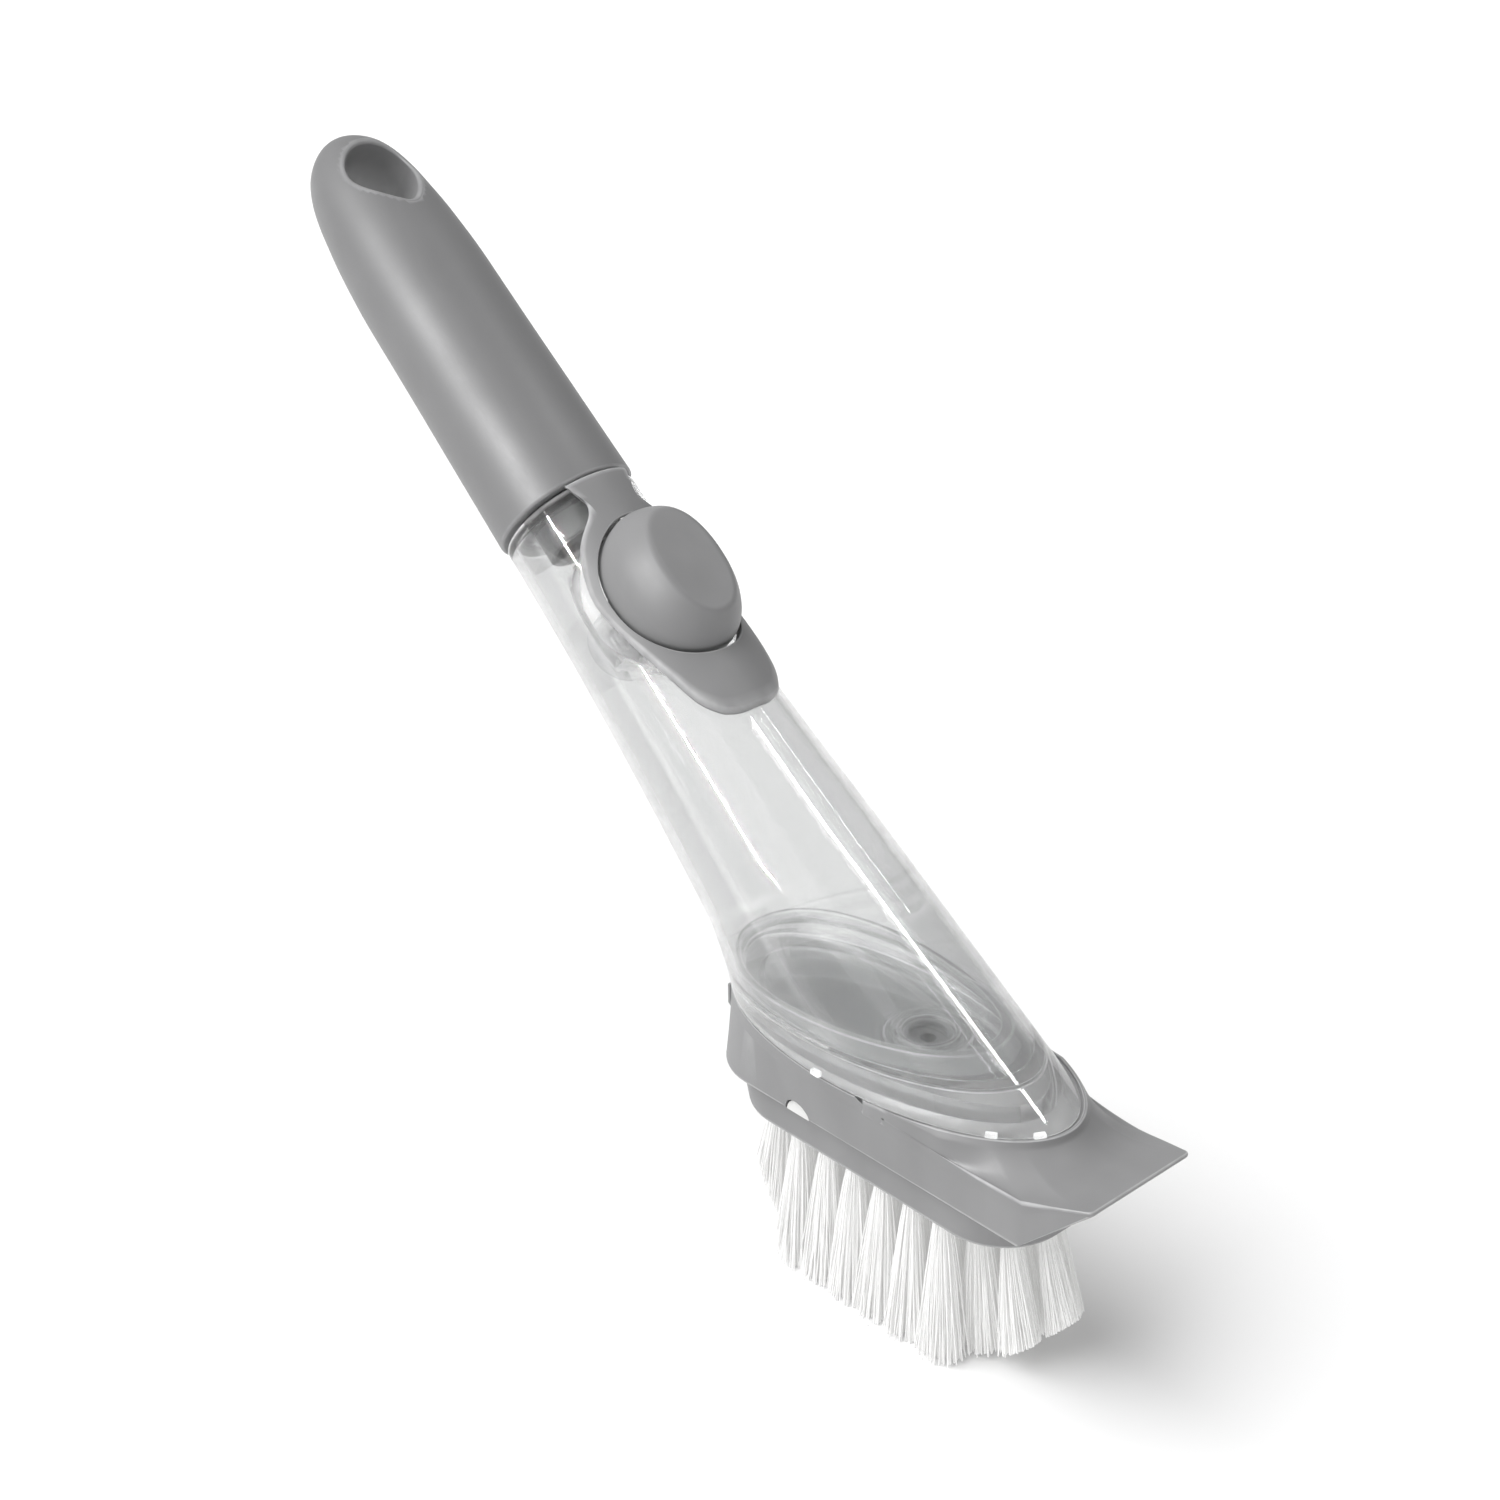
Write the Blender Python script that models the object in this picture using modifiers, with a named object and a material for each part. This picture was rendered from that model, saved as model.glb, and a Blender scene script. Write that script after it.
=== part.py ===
"""Dish brush with a soap tank in its handle, a push button, a screw-on grip and a lift-off head.

Sizes are in metres, with +Z up. The origin lies on the bristle tips, under the middle of the oval foot.
+X points to the scraper blade, and the brush is symmetric about the plane Y = 0.
The handle has its own frame: X is square to the handle on the button's side, Z runs up to the grip's end.
The button has another: Z is the way out of the tank, X points down the handle.
"""

import math

import bmesh
import bpy
from mathutils import Matrix, Vector

# Fits and mesh steps
CLEARANCE = 0.0003
SLIDE_CLEARANCE = 0.0007
OVERRUN = 0.004
WELD_DISTANCE = 0.000001
TURN_MERGE = 0.00001
TURN_STEPS = 40
SMALL_TURN_STEPS = 32
TANK_SIDES = 40
OVAL_SIDES = 32
SHARP_ANGLE = math.radians(32)
HALVINGS = 40

# Heights of the head over the bristle tips
BRISTLE_LENGTH = 0.031
BLOCK_SHOW = 0.0079
SHELL_HEIGHT = 0.0142
FOOT_HEIGHT = 0.0061

# Handle axis
HANDLE_TILT = math.radians(39.8)
AXIS_X = -0.0027
AXIS_RISE = 0.003

# Soap tank
RIM_HALF_LENGTH = 0.0415
RIM_HALF_WIDTH = 0.0201
TANK_WALL = 0.0018
TUBE_RADIUS = 0.0144
FLARE = 0.0044
FLARE_POWER = 1.6
FLARE_START = 0.034
TUBE_END = 0.1178
SHOULDER_ROUND = 0.001
NECK_RADIUS = 0.0102
NECK_WALL = 0.0018
NECK_LENGTH = 0.0182
THREAD_HEIGHT = 0.0006
TUBE_STATION_SHARES = (0.13, 0.27, 0.42, 0.56, 0.7, 0.85)

# Button, its well and its opening in the collar
BUTTON_STATION = 0.0908
BUTTON_HALF_LENGTH = 0.0159
BUTTON_HALF_WIDTH = 0.0116
BUTTON_TOP_HALF_LENGTH = 0.0117
BUTTON_TOP_HALF_WIDTH = 0.007
BUTTON_HEIGHT = 0.025
BUTTON_WALL = 0.0014
BUTTON_TRAVEL = 0.004
BUTTON_STOP_GAP = 0.0004
BUTTON_OVAL_POWER = 2.2
BUTTON_SIDE_SHARES = (
    (0.0, 0.0), (0.47, 0.0), (0.62, 0.18), (0.78, 0.45), (0.92, 0.74), (0.98, 0.9), (1.0, 1.0))
WELL_SIDE_GAP = 0.00035
WELL_END_GAP = 0.001
WELL_FLOOR = 0.0062
WELL_WALL = 0.0018

# Pump under the button
CUP_BORE_RADIUS = 0.0066
CUP_WALL = 0.001
CUP_FLOOR = -0.008
CUP_FLOOR_THICKNESS = 0.0013
CUP_HOLE_RADIUS = 0.0016
CUP_FLANGE_RADIUS = 0.0096
CUP_FLANGE_THICKNESS = 0.001
GASKET_THICKNESS = 0.0007
GASKET_WIDTH = 0.0011
STEM_RADIUS = 0.0022
STEM_SHOULDER_RADIUS = 0.0034
STEM_DISC_RADIUS = 0.0042
STEM_DISC_THICKNESS = 0.0009
STEM_FOOT = 0.0034
PISTON_HEIGHT = 0.0028
PISTON_LIP = 0.0008
SPRING_RADIUS = 0.0036
SPRING_WIRE_RADIUS = 0.00045
SPRING_TURNS = 5
SPRING_POINTS_PER_TURN = 10

# Collar
COLLAR_START = 0.0612
COLLAR_END = 0.1181
COLLAR_HALF_WIDTH = 0.0139
COLLAR_THICKNESS = 0.00245
COLLAR_EDGE = 0.0006
COLLAR_ARC_STEPS = 14
COLLAR_EDGE_POWER = 4
COLLAR_OUTLINE_SHARES = (
    (0.0, 0.187, 0.59), (0.002, 0.288, 0.63), (0.012, 0.403, 0.67), (0.037, 0.554, 0.755),
    (0.102, 0.734, 0.92), (0.204, 0.842, 1.0), (0.327, 0.928, 0.9), (0.471, 0.986, 0.735),
    (0.582, 1.0, 0.6), (0.677, 0.942, 0.49), (0.759, 0.842, 0.43), (0.81, 0.712, 0.38),
    (0.865, 0.496, 0.34), (0.907, 0.428, 0.32), (0.953, 0.46, 0.31), (1.0, 0.547, 0.31))

# Grip and the threaded cap inside it
GRIP_GAP = 0.0007
GRIP_RADIUS = 0.015
GRIP_LENGTH = 0.0941
GRIP_WAIST_RADIUS = 0.0139
GRIP_WAIST_SHARE = 0.61
GRIP_BORE_LENGTH = 0.0595
GRIP_EDGE_ROUND = 0.0006
GRIP_END_SHARES = (
    (0.0, 1.0), (0.2, 0.965), (0.38, 0.91), (0.53, 0.86), (0.66, 0.806), (0.77, 0.72), (0.87, 0.57),
    (0.93, 0.42), (0.975, 0.24), (1.0, 0.0))
GRIP_BODY_SHARES = ((0.8, 0.96), (0.45, 0.67), (0.2, 0.26))
INSERT_WALL = 0.001
INSERT_CAP_THICKNESS = 0.0025
STOPPER_FLANGE = 0.0014
STOPPER_WALL = 0.0012
STOPPER_DEPTH = 0.0255
HOLE_BACK_FROM_END = 0.0143
HOLE_HALF_LENGTH = 0.0076
HOLE_HALF_WIDTH = 0.0058
HOLE_FLARE = 0.0012
HOLE_FLARE_SHARES = (
    (-1.2, 1.5), (-0.92, 1.0), (-0.78, 0.62), (-0.64, 0.2), (-0.5, 0.0), (0.5, 0.0), (0.64, 0.2),
    (0.78, 0.62), (0.92, 1.0), (1.2, 1.5))

# Foot of the tank
RIM_CHAMFER = 0.0003
PLUG_RISE = 0.0032
PLUG_WALL = 0.0014
FLOOR_EDGE_RISE = 0.0004
FLOOR_DROP = 0.0024
FLOOR_THICKNESS = 0.0016
FLOOR_EDGE_EXTRA = 0.0008
FLOOR_SHARES = ((0.25, 0.58), (0.6, 0.92))
OUTLET_X = 0.0075
BOSS_RADIUS = 0.0088
BOSS_TOP_RADIUS = 0.0084
BOSS_HEIGHT = 0.0014
BOSS_RING_RADIUS = 0.0064
BOSS_RING_HEIGHT = 0.0005
VALVE_SEAT_RADIUS = 0.005
VALVE_SEAT_DEPTH = 0.0013
OUTLET_BORE_RADIUS = 0.0024
SPOUT_RADIUS = 0.004
SPOUT_CHAMFER = 0.0005
HOUSING_RADIUS = 0.0066
HOUSING_DROP = 0.0014
SOCKET_LEDGE_END = 0.0055
SOCKET_LEDGE_SIDE = 0.0044
SOCKET_PLUG_WALL = 0.0016
SOCKET_PLUG_DEPTH = 0.0041
VALVE_FLANGE_THICKNESS = 0.001
VALVE_WALL = 0.00065
VALVE_DEPTH = 0.0042
RETAINER_THICKNESS = 0.001
RETAINER_HOLE_RADIUS = 0.0036

# Head shell
LIP_REAR = 0.0384
LIP_HALF_WIDTH = 0.017
LIP_FRONT = 0.0456
LIP_CORNER_RADIUS = 0.0135
CREASE_START_X = 0.008
CREASE_END_X = 0.0457
CREASE_END_HALF_WIDTH = 0.01605
CREASE_DROP = 0.0051
CREASE_POWER = 1.4
BLADE_X = 0.059
BLADE_HALF_WIDTH = 0.0131
BLADE_RISE = 0.0034
BLADE_EDGE = 0.0009
REAR_STEPS = 16
CREASE_STEPS = 6
BLADE_SIDE_STEPS = 2
BLADE_STEPS = 4
DISH_SHARES = (0.25, 0.5, 0.75)
DISH_POWER = 3.0
BEAD_GAP = 0.0005
BEAD_WIDTH = 0.0006
BEAD_SLOPE = 0.0007
BEAD_HEIGHT = 0.0007
BEAD_FOOT_DROP = 0.0005
BEAD_RUN_IN = 0.0024
SOCKET_DEPTH = 0.0045
WEB_THICKNESS = 0.0023
TONGUE_HALF_WIDTH = 0.006
TONGUE_THICKNESS = 0.0008
TONGUE_OVERHANG = 0.0032
TONGUE_ROOT_DEPTH = 0.001
TONGUE_DROP = 0.004
TONGUE_HEIGHT = 0.0044
TONGUE_ROOT_DROP = 0.0032
TONGUE_ROOT_HEIGHT = 0.0024
SPOUT_SEAL_WIDTH = 0.0017
SPOUT_SEAL_HEIGHT = 0.0015

# Bristle block
BLOCK_REAR_WALL = 0.0027
BLOCK_FRONT_WALL = 0.0016
BLOCK_SIDE_WALL = 0.002
BLOCK_END_DRAFT = 0.0022
BLOCK_CORNER_RADIUS = 0.0132
BLOCK_HEIGHT = 0.015
BLOCK_EDGE_ROUND = 0.0006
LOCK_X = -0.0099
LOCK_RADIUS = 0.003
LOCK_STEPS = 14

# Bristles: rows of tufts, and how the tufts spread and the crown is trimmed
ROW_PITCH = 0.0056
ROW_HALF_WIDTH = 0.0021
ROW_THICKNESS = 0.002
CENTRE_ROW_MARGIN = 0.00155
SECOND_ROW_MARGIN = 0.00355
OUTER_ROW_MARGIN = 0.01205
TUFT_PITCH = 0.0075
TUFT_RADIUS = 0.0012
TUFT_RINGS = ((0.0, 1), (0.52, 3), (1.0, 6))
TUFT_TURN_SHARE = 0.25
STRAND_RADIUS = 0.00025
STRAND_SIDES = 3
TUFT_SPREAD = 1.6
SPLAY_LENGTH = 0.012
SPLAY_WIDTH = 0.0048
SPLAY_POWER = 3.0
CROWN_FRONT_START = 0.02
CROWN_FRONT_RUN = 0.028
CROWN_FRONT_RISE = 0.021
CROWN_REAR_START = 0.013
CROWN_REAR_EXTRA = 0.012
CROWN_REAR_RUN = 0.01
CROWN_REAR_RISE = 0.011
DUCT_RADIUS = 0.0024
ROW_DUCT_RADIUS = 0.0013

# Heights and stations that follow from the sizes
LIP_Z = BRISTLE_LENGTH + BLOCK_SHOW
DECK_Z = LIP_Z + SHELL_HEIGHT
RIM_Z = DECK_Z + CLEARANCE
SEAM_Z = RIM_Z + FOOT_HEIGHT
NECK_TOP = TUBE_END + NECK_LENGTH
GRIP_START = TUBE_END + GRIP_GAP
GRIP_END = GRIP_START + GRIP_LENGTH
NECK_BORE_RADIUS = NECK_RADIUS - NECK_WALL
GRIP_BORE_RADIUS = NECK_RADIUS + THREAD_HEIGHT + INSERT_WALL + 2 * CLEARANCE
BUTTON_SKIRT_FOOT = WELL_FLOOR + BUTTON_TRAVEL + BUTTON_STOP_GAP
SOCKET_PLUG_HALF_LENGTH = RIM_HALF_LENGTH - SOCKET_LEDGE_END
SOCKET_PLUG_HALF_WIDTH = RIM_HALF_WIDTH - SOCKET_LEDGE_SIDE
BLOCK_HALF_LENGTH = (LIP_FRONT - BLOCK_FRONT_WALL + LIP_REAR - BLOCK_REAR_WALL) / 2
BLOCK_HALF_WIDTH = LIP_HALF_WIDTH - BLOCK_SIDE_WALL
BLOCK_X = (LIP_FRONT - BLOCK_FRONT_WALL - LIP_REAR + BLOCK_REAR_WALL) / 2
BLOCK_FOOT_HALF_LENGTH = BLOCK_HALF_LENGTH - BLOCK_END_DRAFT
CENTRE_ROW_HALF_LENGTH = BLOCK_FOOT_HALF_LENGTH - CENTRE_ROW_MARGIN
SECOND_ROW_HALF_LENGTH = BLOCK_FOOT_HALF_LENGTH - SECOND_ROW_MARGIN
OUTER_ROW_HALF_LENGTH = BLOCK_FOOT_HALF_LENGTH - OUTER_ROW_MARGIN

HANDLE_FOOT = Matrix.Translation((AXIS_X, 0, RIM_Z + AXIS_RISE))
HANDLE = HANDLE_FOOT @ Matrix.Rotation(HANDLE_TILT - math.pi / 2, 4, "Y")
PRESS = HANDLE @ Matrix.Translation((0, 0, BUTTON_STATION)) @ Matrix.Rotation(math.pi / 2, 4, "Y")


def clear_scene():
    """Remove what the new file holds."""
    for leftover in list(bpy.data.objects):
        bpy.data.objects.remove(leftover, do_unlink=True)


def collection(name):
    """Return the named collection, made on first use."""
    found = bpy.data.collections.get(name)
    if found is None:
        found = bpy.data.collections.new(name)
        bpy.context.scene.collection.children.link(found)
    return found


def finish(name, colour, roughness, alpha=1.0, transmission=0.0):
    """Return a Principled material, made on first use."""
    material = bpy.data.materials.get(name)
    if material is None:
        material = bpy.data.materials.new(name)
        material.use_nodes = True
        shader = material.node_tree.nodes["Principled BSDF"]
        shader.inputs["Base Color"].default_value = (*colour, 1.0)
        shader.inputs["Roughness"].default_value = roughness
        shader.inputs["Metallic"].default_value = 0.0
        shader.inputs["Alpha"].default_value = alpha
        shader.inputs["Transmission Weight"].default_value = transmission
    return material


def soft_grip_finish():
    return finish("soft_grip", (0.2, 0.2, 0.205), 0.75)


def satin_grey_finish():
    return finish("satin_grey_plastic", (0.42, 0.43, 0.44), 0.4)


def clear_finish():
    return finish("clear_plastic", (0.93, 0.95, 0.96), 0.06, alpha=0.35, transmission=0.9)


def seal_finish():
    return finish("grey_silicone", (0.5, 0.5, 0.5), 0.6)


def white_plastic_finish():
    return finish("white_plastic", (0.8, 0.8, 0.79), 0.45)


def bristle_finish():
    return finish("white_nylon", (0.85, 0.85, 0.84), 0.5)


def spring_finish():
    material = finish("spring_steel", (0.6, 0.6, 0.6), 0.3)
    material.node_tree.nodes["Principled BSDF"].inputs["Metallic"].default_value = 1.0
    return material


def add_object(name, data, material, frame=None):
    """Link a new piece to the brush's collection, carried by the given frame."""
    piece = bpy.data.objects.new(name, data)
    data.materials.append(material)
    collection("dish_brush").objects.link(piece)
    piece.parent = frame
    return piece


def make_cutter(piece):
    """Keep a shape out of the brush, as a tool for a Boolean."""
    collection("dish_brush").objects.unlink(piece)
    collection("cutters").objects.link(piece)
    piece.hide_render = True
    piece.display_type = "WIRE"
    return piece


def combine(piece, other, operation):
    """Cut or join a piece with another shape."""
    step = piece.modifiers.new(operation.lower(), "BOOLEAN")
    step.operation = operation
    step.solver = "EXACT"
    step.object = other


def mesh_from(bm, name, turn_outwards=True):
    """Weld a bmesh, turn its faces outwards and return it as a smooth shaded mesh."""
    bmesh.ops.remove_doubles(bm, verts=bm.verts, dist=WELD_DISTANCE)
    if turn_outwards:
        bmesh.ops.recalc_face_normals(bm, faces=bm.faces)
    mesh = bpy.data.meshes.new(name)
    bm.to_mesh(mesh)
    bm.free()
    mesh.shade_smooth()
    mesh.set_sharp_from_angle(angle=SHARP_ANGLE)
    return mesh


def loft(name, rings, material, frame=None, looped=False):
    """Skin a row of rings that have the same count of points, capped or closed into a loop."""
    bm = bmesh.new()
    rows = [[bm.verts.new(point) for point in ring] for ring in rings]
    pairs = list(zip(rows, rows[1:]))
    if looped:
        pairs.append((rows[-1], rows[0]))
    count = len(rows[0])
    for low, high in pairs:
        for here in range(count):
            after = (here + 1) % count
            bm.faces.new((low[here], low[after], high[after], high[here]))
    if not looped:
        bm.faces.new(rows[0])
        bm.faces.new(rows[-1])
    return add_object(name, mesh_from(bm, name), material, frame)


def turned(name, profile, material, frame, steps=SMALL_TURN_STEPS, looped=False):
    """Turn a profile of (radius, height) about Z. It runs down the outer side, top to bottom."""
    mesh = bpy.data.meshes.new(name)
    count = len(profile)
    edges = [(place, place + 1) for place in range(count - 1)]
    if looped:
        edges.append((count - 1, 0))
    mesh.from_pydata([(radius, 0, height) for radius, height in profile], edges, [])
    piece = add_object(name, mesh, material, frame)
    screw = piece.modifiers.new("turn", "SCREW")
    screw.steps = steps
    screw.render_steps = steps
    screw.use_merge_vertices = True
    screw.merge_threshold = TURN_MERGE
    return piece


def box(name, low, high, material, frame=None):
    """A block between two corners, started from a cube."""
    bm = bmesh.new()
    bmesh.ops.create_cube(bm, size=1)
    size = Vector(high) - Vector(low)
    bmesh.ops.scale(bm, verts=bm.verts, vec=size)
    bmesh.ops.translate(bm, verts=bm.verts, vec=(Vector(high) + Vector(low)) / 2)
    return add_object(name, mesh_from(bm, name), material, frame)


def extruded(name, outline, low, high, material):
    """A flat outline of (x, z) points pushed along Y from low to high."""
    rings = [[(x, y, z) for x, z in outline] for y in (low, high)]
    return loft(name, rings, material)


def oval(half_length, half_width, height, power=2.0, sides=OVAL_SIDES):
    """Points of a superellipse in X and Y at one height."""
    points = []
    for step in range(sides):
        angle = 2 * math.pi * step / sides
        along, across = math.cos(angle), math.sin(angle)
        x = math.copysign(abs(along) ** (2 / power), along) * half_length
        y = math.copysign(abs(across) ** (2 / power), across) * half_width
        points.append((x, y, height))
    return points


def circle(radius, height, sides, centre_x=0.0):
    """Points of a circle in X and Y at one height."""
    angles = (2 * math.pi * step / sides for step in range(sides))
    return [(centre_x + radius * math.cos(angle), radius * math.sin(angle), height) for angle in angles]


def tube_radius(station):
    """Outer radius of the tank's round part at a distance up the handle."""
    share = max(0.0, (TUBE_END - station) / (TUBE_END - FLARE_START))
    return TUBE_RADIUS + FLARE * share ** FLARE_POWER


def flare_point(angle, height, inset):
    """A point of the tank's lower flare, which runs straight from the oval rim to the round tube."""
    radius = tube_radius(FLARE_START)
    top_front = HANDLE @ Vector((radius, 0, FLARE_START))
    slope = (top_front - Vector((RIM_HALF_LENGTH, 0, RIM_Z))).normalized().z
    front = RIM_HALF_LENGTH - inset / slope
    rear = RIM_HALF_LENGTH - inset
    rim = Vector(((front - rear) / 2 + (front + rear) / 2 * math.cos(angle),
                  (RIM_HALF_WIDTH - inset) * math.sin(angle), RIM_Z))
    inner = radius - inset
    top = HANDLE @ Vector((inner * math.cos(angle), inner * math.sin(angle), FLARE_START))
    return rim.lerp(top, (height - RIM_Z) / (top.z - rim.z))


def flare_ring(height, inset, sides):
    """A level ring of the tank's lower flare."""
    return [flare_point(2 * math.pi * step / sides, height, inset) for step in range(sides)]


def tank_stations():
    """Distances up the handle of the tube's rings."""
    run = TUBE_END - FLARE_START
    return [FLARE_START] + [FLARE_START + share * run for share in TUBE_STATION_SHARES]


def tank_rings(inset, levels):
    """Rings of the tank's flare, at the given heights, and of its tube, in the handle's frame."""
    back = HANDLE.inverted()
    rings = [[back @ point for point in flare_ring(level, inset, TANK_SIDES)] for level in levels]
    for station in tank_stations():
        rings.append(circle(tube_radius(station) - inset, station, TANK_SIDES))
    return rings


def tube_outside(name, handle):
    """The tank's outer form: flare, tube and shoulder."""
    rings = tank_rings(0.0, (SEAM_Z, SEAM_Z + PLUG_RISE))
    rings.append(circle(TUBE_RADIUS, TUBE_END - SHOULDER_ROUND, TANK_SIDES))
    rings.append(circle(TUBE_RADIUS - SHOULDER_ROUND, TUBE_END, TANK_SIDES))
    return loft(name, rings, clear_finish(), handle)


def soap_tank(handle, press):
    """Clear tank: flare, tube, shoulder and neck, hollow right through, with an oval opening for the well."""
    tank = tube_outside("soap_tank", handle)
    rings = [circle(NECK_RADIUS, station, TANK_SIDES) for station in (TUBE_END - SHOULDER_ROUND, NECK_TOP)]
    combine(tank, make_cutter(loft("add_neck", rings, clear_finish(), handle)), "UNION")
    combine(tank, tank_cavity(handle), "DIFFERENCE")
    seat_floor = WELL_FLOOR - WELL_WALL - CLEARANCE
    seat = loft("cut_well_seat", well_rings(WELL_WALL + CLEARANCE, seat_floor), clear_finish(), press)
    combine(tank, make_cutter(seat), "DIFFERENCE")
    return tank


def tank_cavity(handle):
    """Inside of the tank and of its neck."""
    rings = tank_rings(TANK_WALL, (RIM_Z, SEAM_Z + PLUG_RISE / 2, SEAM_Z + PLUG_RISE))
    ceiling = TUBE_END - TANK_WALL
    inner = TUBE_RADIUS - TANK_WALL
    rings.append(circle(inner, ceiling - SHOULDER_ROUND, TANK_SIDES))
    rings.append(circle(inner - SHOULDER_ROUND, ceiling, TANK_SIDES))
    rings.append(circle(NECK_BORE_RADIUS, ceiling, TANK_SIDES))
    rings.append(circle(NECK_BORE_RADIUS, NECK_TOP + OVERRUN, TANK_SIDES))
    return make_cutter(loft("cut_cavity", rings, clear_finish(), handle))


def well_rings(margin, floor):
    """Oval prism round the button, wider than it by a margin, from a floor out past the tank's wall."""
    half_length = BUTTON_HALF_LENGTH + WELL_END_GAP + margin
    half_width = BUTTON_HALF_WIDTH + WELL_SIDE_GAP + margin
    return [oval(half_length, half_width, level, BUTTON_OVAL_POWER) for level in (floor, BUTTON_HEIGHT)]


def button_well(handle, press):
    """Tub in the tank's oval opening, flush with the tube, with the pump's port through its floor."""
    tub = loft("button_well", well_rings(WELL_WALL, WELL_FLOOR - WELL_WALL), clear_finish(), press)
    combine(tub, make_cutter(tube_outside("cut_tube_outside", handle)), "INTERSECT")
    inside = loft("cut_well", well_rings(0.0, WELL_FLOOR), clear_finish(), press)
    combine(tub, make_cutter(inside), "DIFFERENCE")
    port_radius = CUP_BORE_RADIUS + CUP_WALL + CLEARANCE
    port = turned("cut_port", [(0, WELL_FLOOR + OVERRUN), (port_radius, WELL_FLOOR + OVERRUN),
                               (port_radius, 0), (0, 0)], clear_finish(), press)
    combine(tub, make_cutter(port), "DIFFERENCE")


def foot_ring(point_at, height):
    """A ring of the foot that keeps the outlet's middle as its own."""
    return circle(point_at, height, TANK_SIDES, OUTLET_X)


def socket_ring(inset, height):
    """A ring of the oval plug that the head's socket takes."""
    return oval(SOCKET_PLUG_HALF_LENGTH - inset, SOCKET_PLUG_HALF_WIDTH - inset, height, sides=TANK_SIDES)


def tank_foot():
    """Clear foot: rim, plug inside the tank, dished floor, outlet boss, spout and the plug for the head."""
    seam = SEAM_Z - CLEARANCE
    plug_inset = TANK_WALL + CLEARANCE
    floor_inset = plug_inset + PLUG_WALL
    floor_edge = SEAM_Z - FLOOR_EDGE_RISE
    floor = floor_edge - FLOOR_DROP
    boss_top = floor + BOSS_HEIGHT
    seat = valve_seat_height()
    underside = floor - FLOOR_THICKNESS
    spout_foot = DECK_Z - SOCKET_DEPTH - WEB_THICKNESS + 2 * CLEARANCE
    plug_foot = RIM_Z - SOCKET_PLUG_DEPTH
    edge_ring = flare_ring(floor_edge, floor_inset, TANK_SIDES)
    boss_ring = [Vector(point) for point in foot_ring(BOSS_RADIUS, floor)]
    rings = [
        flare_ring(RIM_Z, RIM_CHAMFER, TANK_SIDES),
        flare_ring(RIM_Z + RIM_CHAMFER, 0.0, TANK_SIDES),
        flare_ring(seam, 0.0, TANK_SIDES),
        flare_ring(seam, plug_inset, TANK_SIDES),
        flare_ring(seam + PLUG_RISE, plug_inset, TANK_SIDES),
        flare_ring(seam + PLUG_RISE, floor_inset, TANK_SIDES),
        edge_ring]
    for inward, drop in FLOOR_SHARES:
        ring = [Vector(edge).lerp(boss, inward) for edge, boss in zip(edge_ring, boss_ring)]
        rings.append([(point.x, point.y, floor_edge - drop * FLOOR_DROP) for point in ring])
    rings += [
        boss_ring,
        foot_ring(BOSS_TOP_RADIUS, boss_top),
        foot_ring(BOSS_RING_RADIUS, boss_top),
        foot_ring(BOSS_RING_RADIUS - BOSS_RING_HEIGHT, boss_top + BOSS_RING_HEIGHT),
        foot_ring(VALVE_SEAT_RADIUS, boss_top + BOSS_RING_HEIGHT),
        foot_ring(VALVE_SEAT_RADIUS, seat),
        foot_ring(OUTLET_BORE_RADIUS, seat),
        foot_ring(OUTLET_BORE_RADIUS, spout_foot),
        foot_ring(SPOUT_RADIUS - SPOUT_CHAMFER, spout_foot),
        foot_ring(SPOUT_RADIUS, spout_foot + SPOUT_CHAMFER),
        foot_ring(SPOUT_RADIUS, underside - HOUSING_DROP),
        foot_ring(HOUSING_RADIUS, underside - HOUSING_DROP),
        foot_ring(HOUSING_RADIUS, underside),
        socket_ring(SOCKET_PLUG_WALL, underside + FLOOR_EDGE_EXTRA),
        socket_ring(SOCKET_PLUG_WALL, plug_foot),
        socket_ring(0.0, plug_foot),
        socket_ring(0.0, RIM_Z)]
    return loft("tank_foot", rings, clear_finish(), looped=True)


def valve_seat_height():
    """Height of the ledge under the outlet valve."""
    floor = SEAM_Z - FLOOR_EDGE_RISE - FLOOR_DROP
    return floor + BOSS_HEIGHT - VALVE_SEAT_DEPTH - FLOOR_THICKNESS + CLEARANCE


def outlet_valve(outlet):
    """Soft valve: a flange on the seat and a hollow beak that hangs in the spout."""
    foot = valve_seat_height() + CLEARANCE
    top = foot + VALVE_FLANGE_THICKNESS
    outer = OUTLET_BORE_RADIUS - CLEARANCE
    inner = outer - VALVE_WALL
    beak = foot - VALVE_DEPTH
    profile = [(0, beak + VALVE_WALL), (inner, beak + 2 * VALVE_WALL), (inner, top),
               (VALVE_SEAT_RADIUS - CLEARANCE, top), (VALVE_SEAT_RADIUS - CLEARANCE, foot),
               (outer, foot), (outer, beak + VALVE_WALL), (0, beak)]
    return turned("outlet_valve", profile, seal_finish(), outlet)


def valve_retainer(outlet):
    """Ring that keeps the valve in its seat."""
    foot = valve_seat_height() + VALVE_FLANGE_THICKNESS + 2 * CLEARANCE
    top = foot + RETAINER_THICKNESS
    outer = VALVE_SEAT_RADIUS - CLEARANCE
    profile = [(RETAINER_HOLE_RADIUS, top), (outer, top), (outer, foot), (RETAINER_HOLE_RADIUS, foot)]
    return turned("valve_retainer", profile, satin_grey_finish(), outlet, looped=True)


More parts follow.
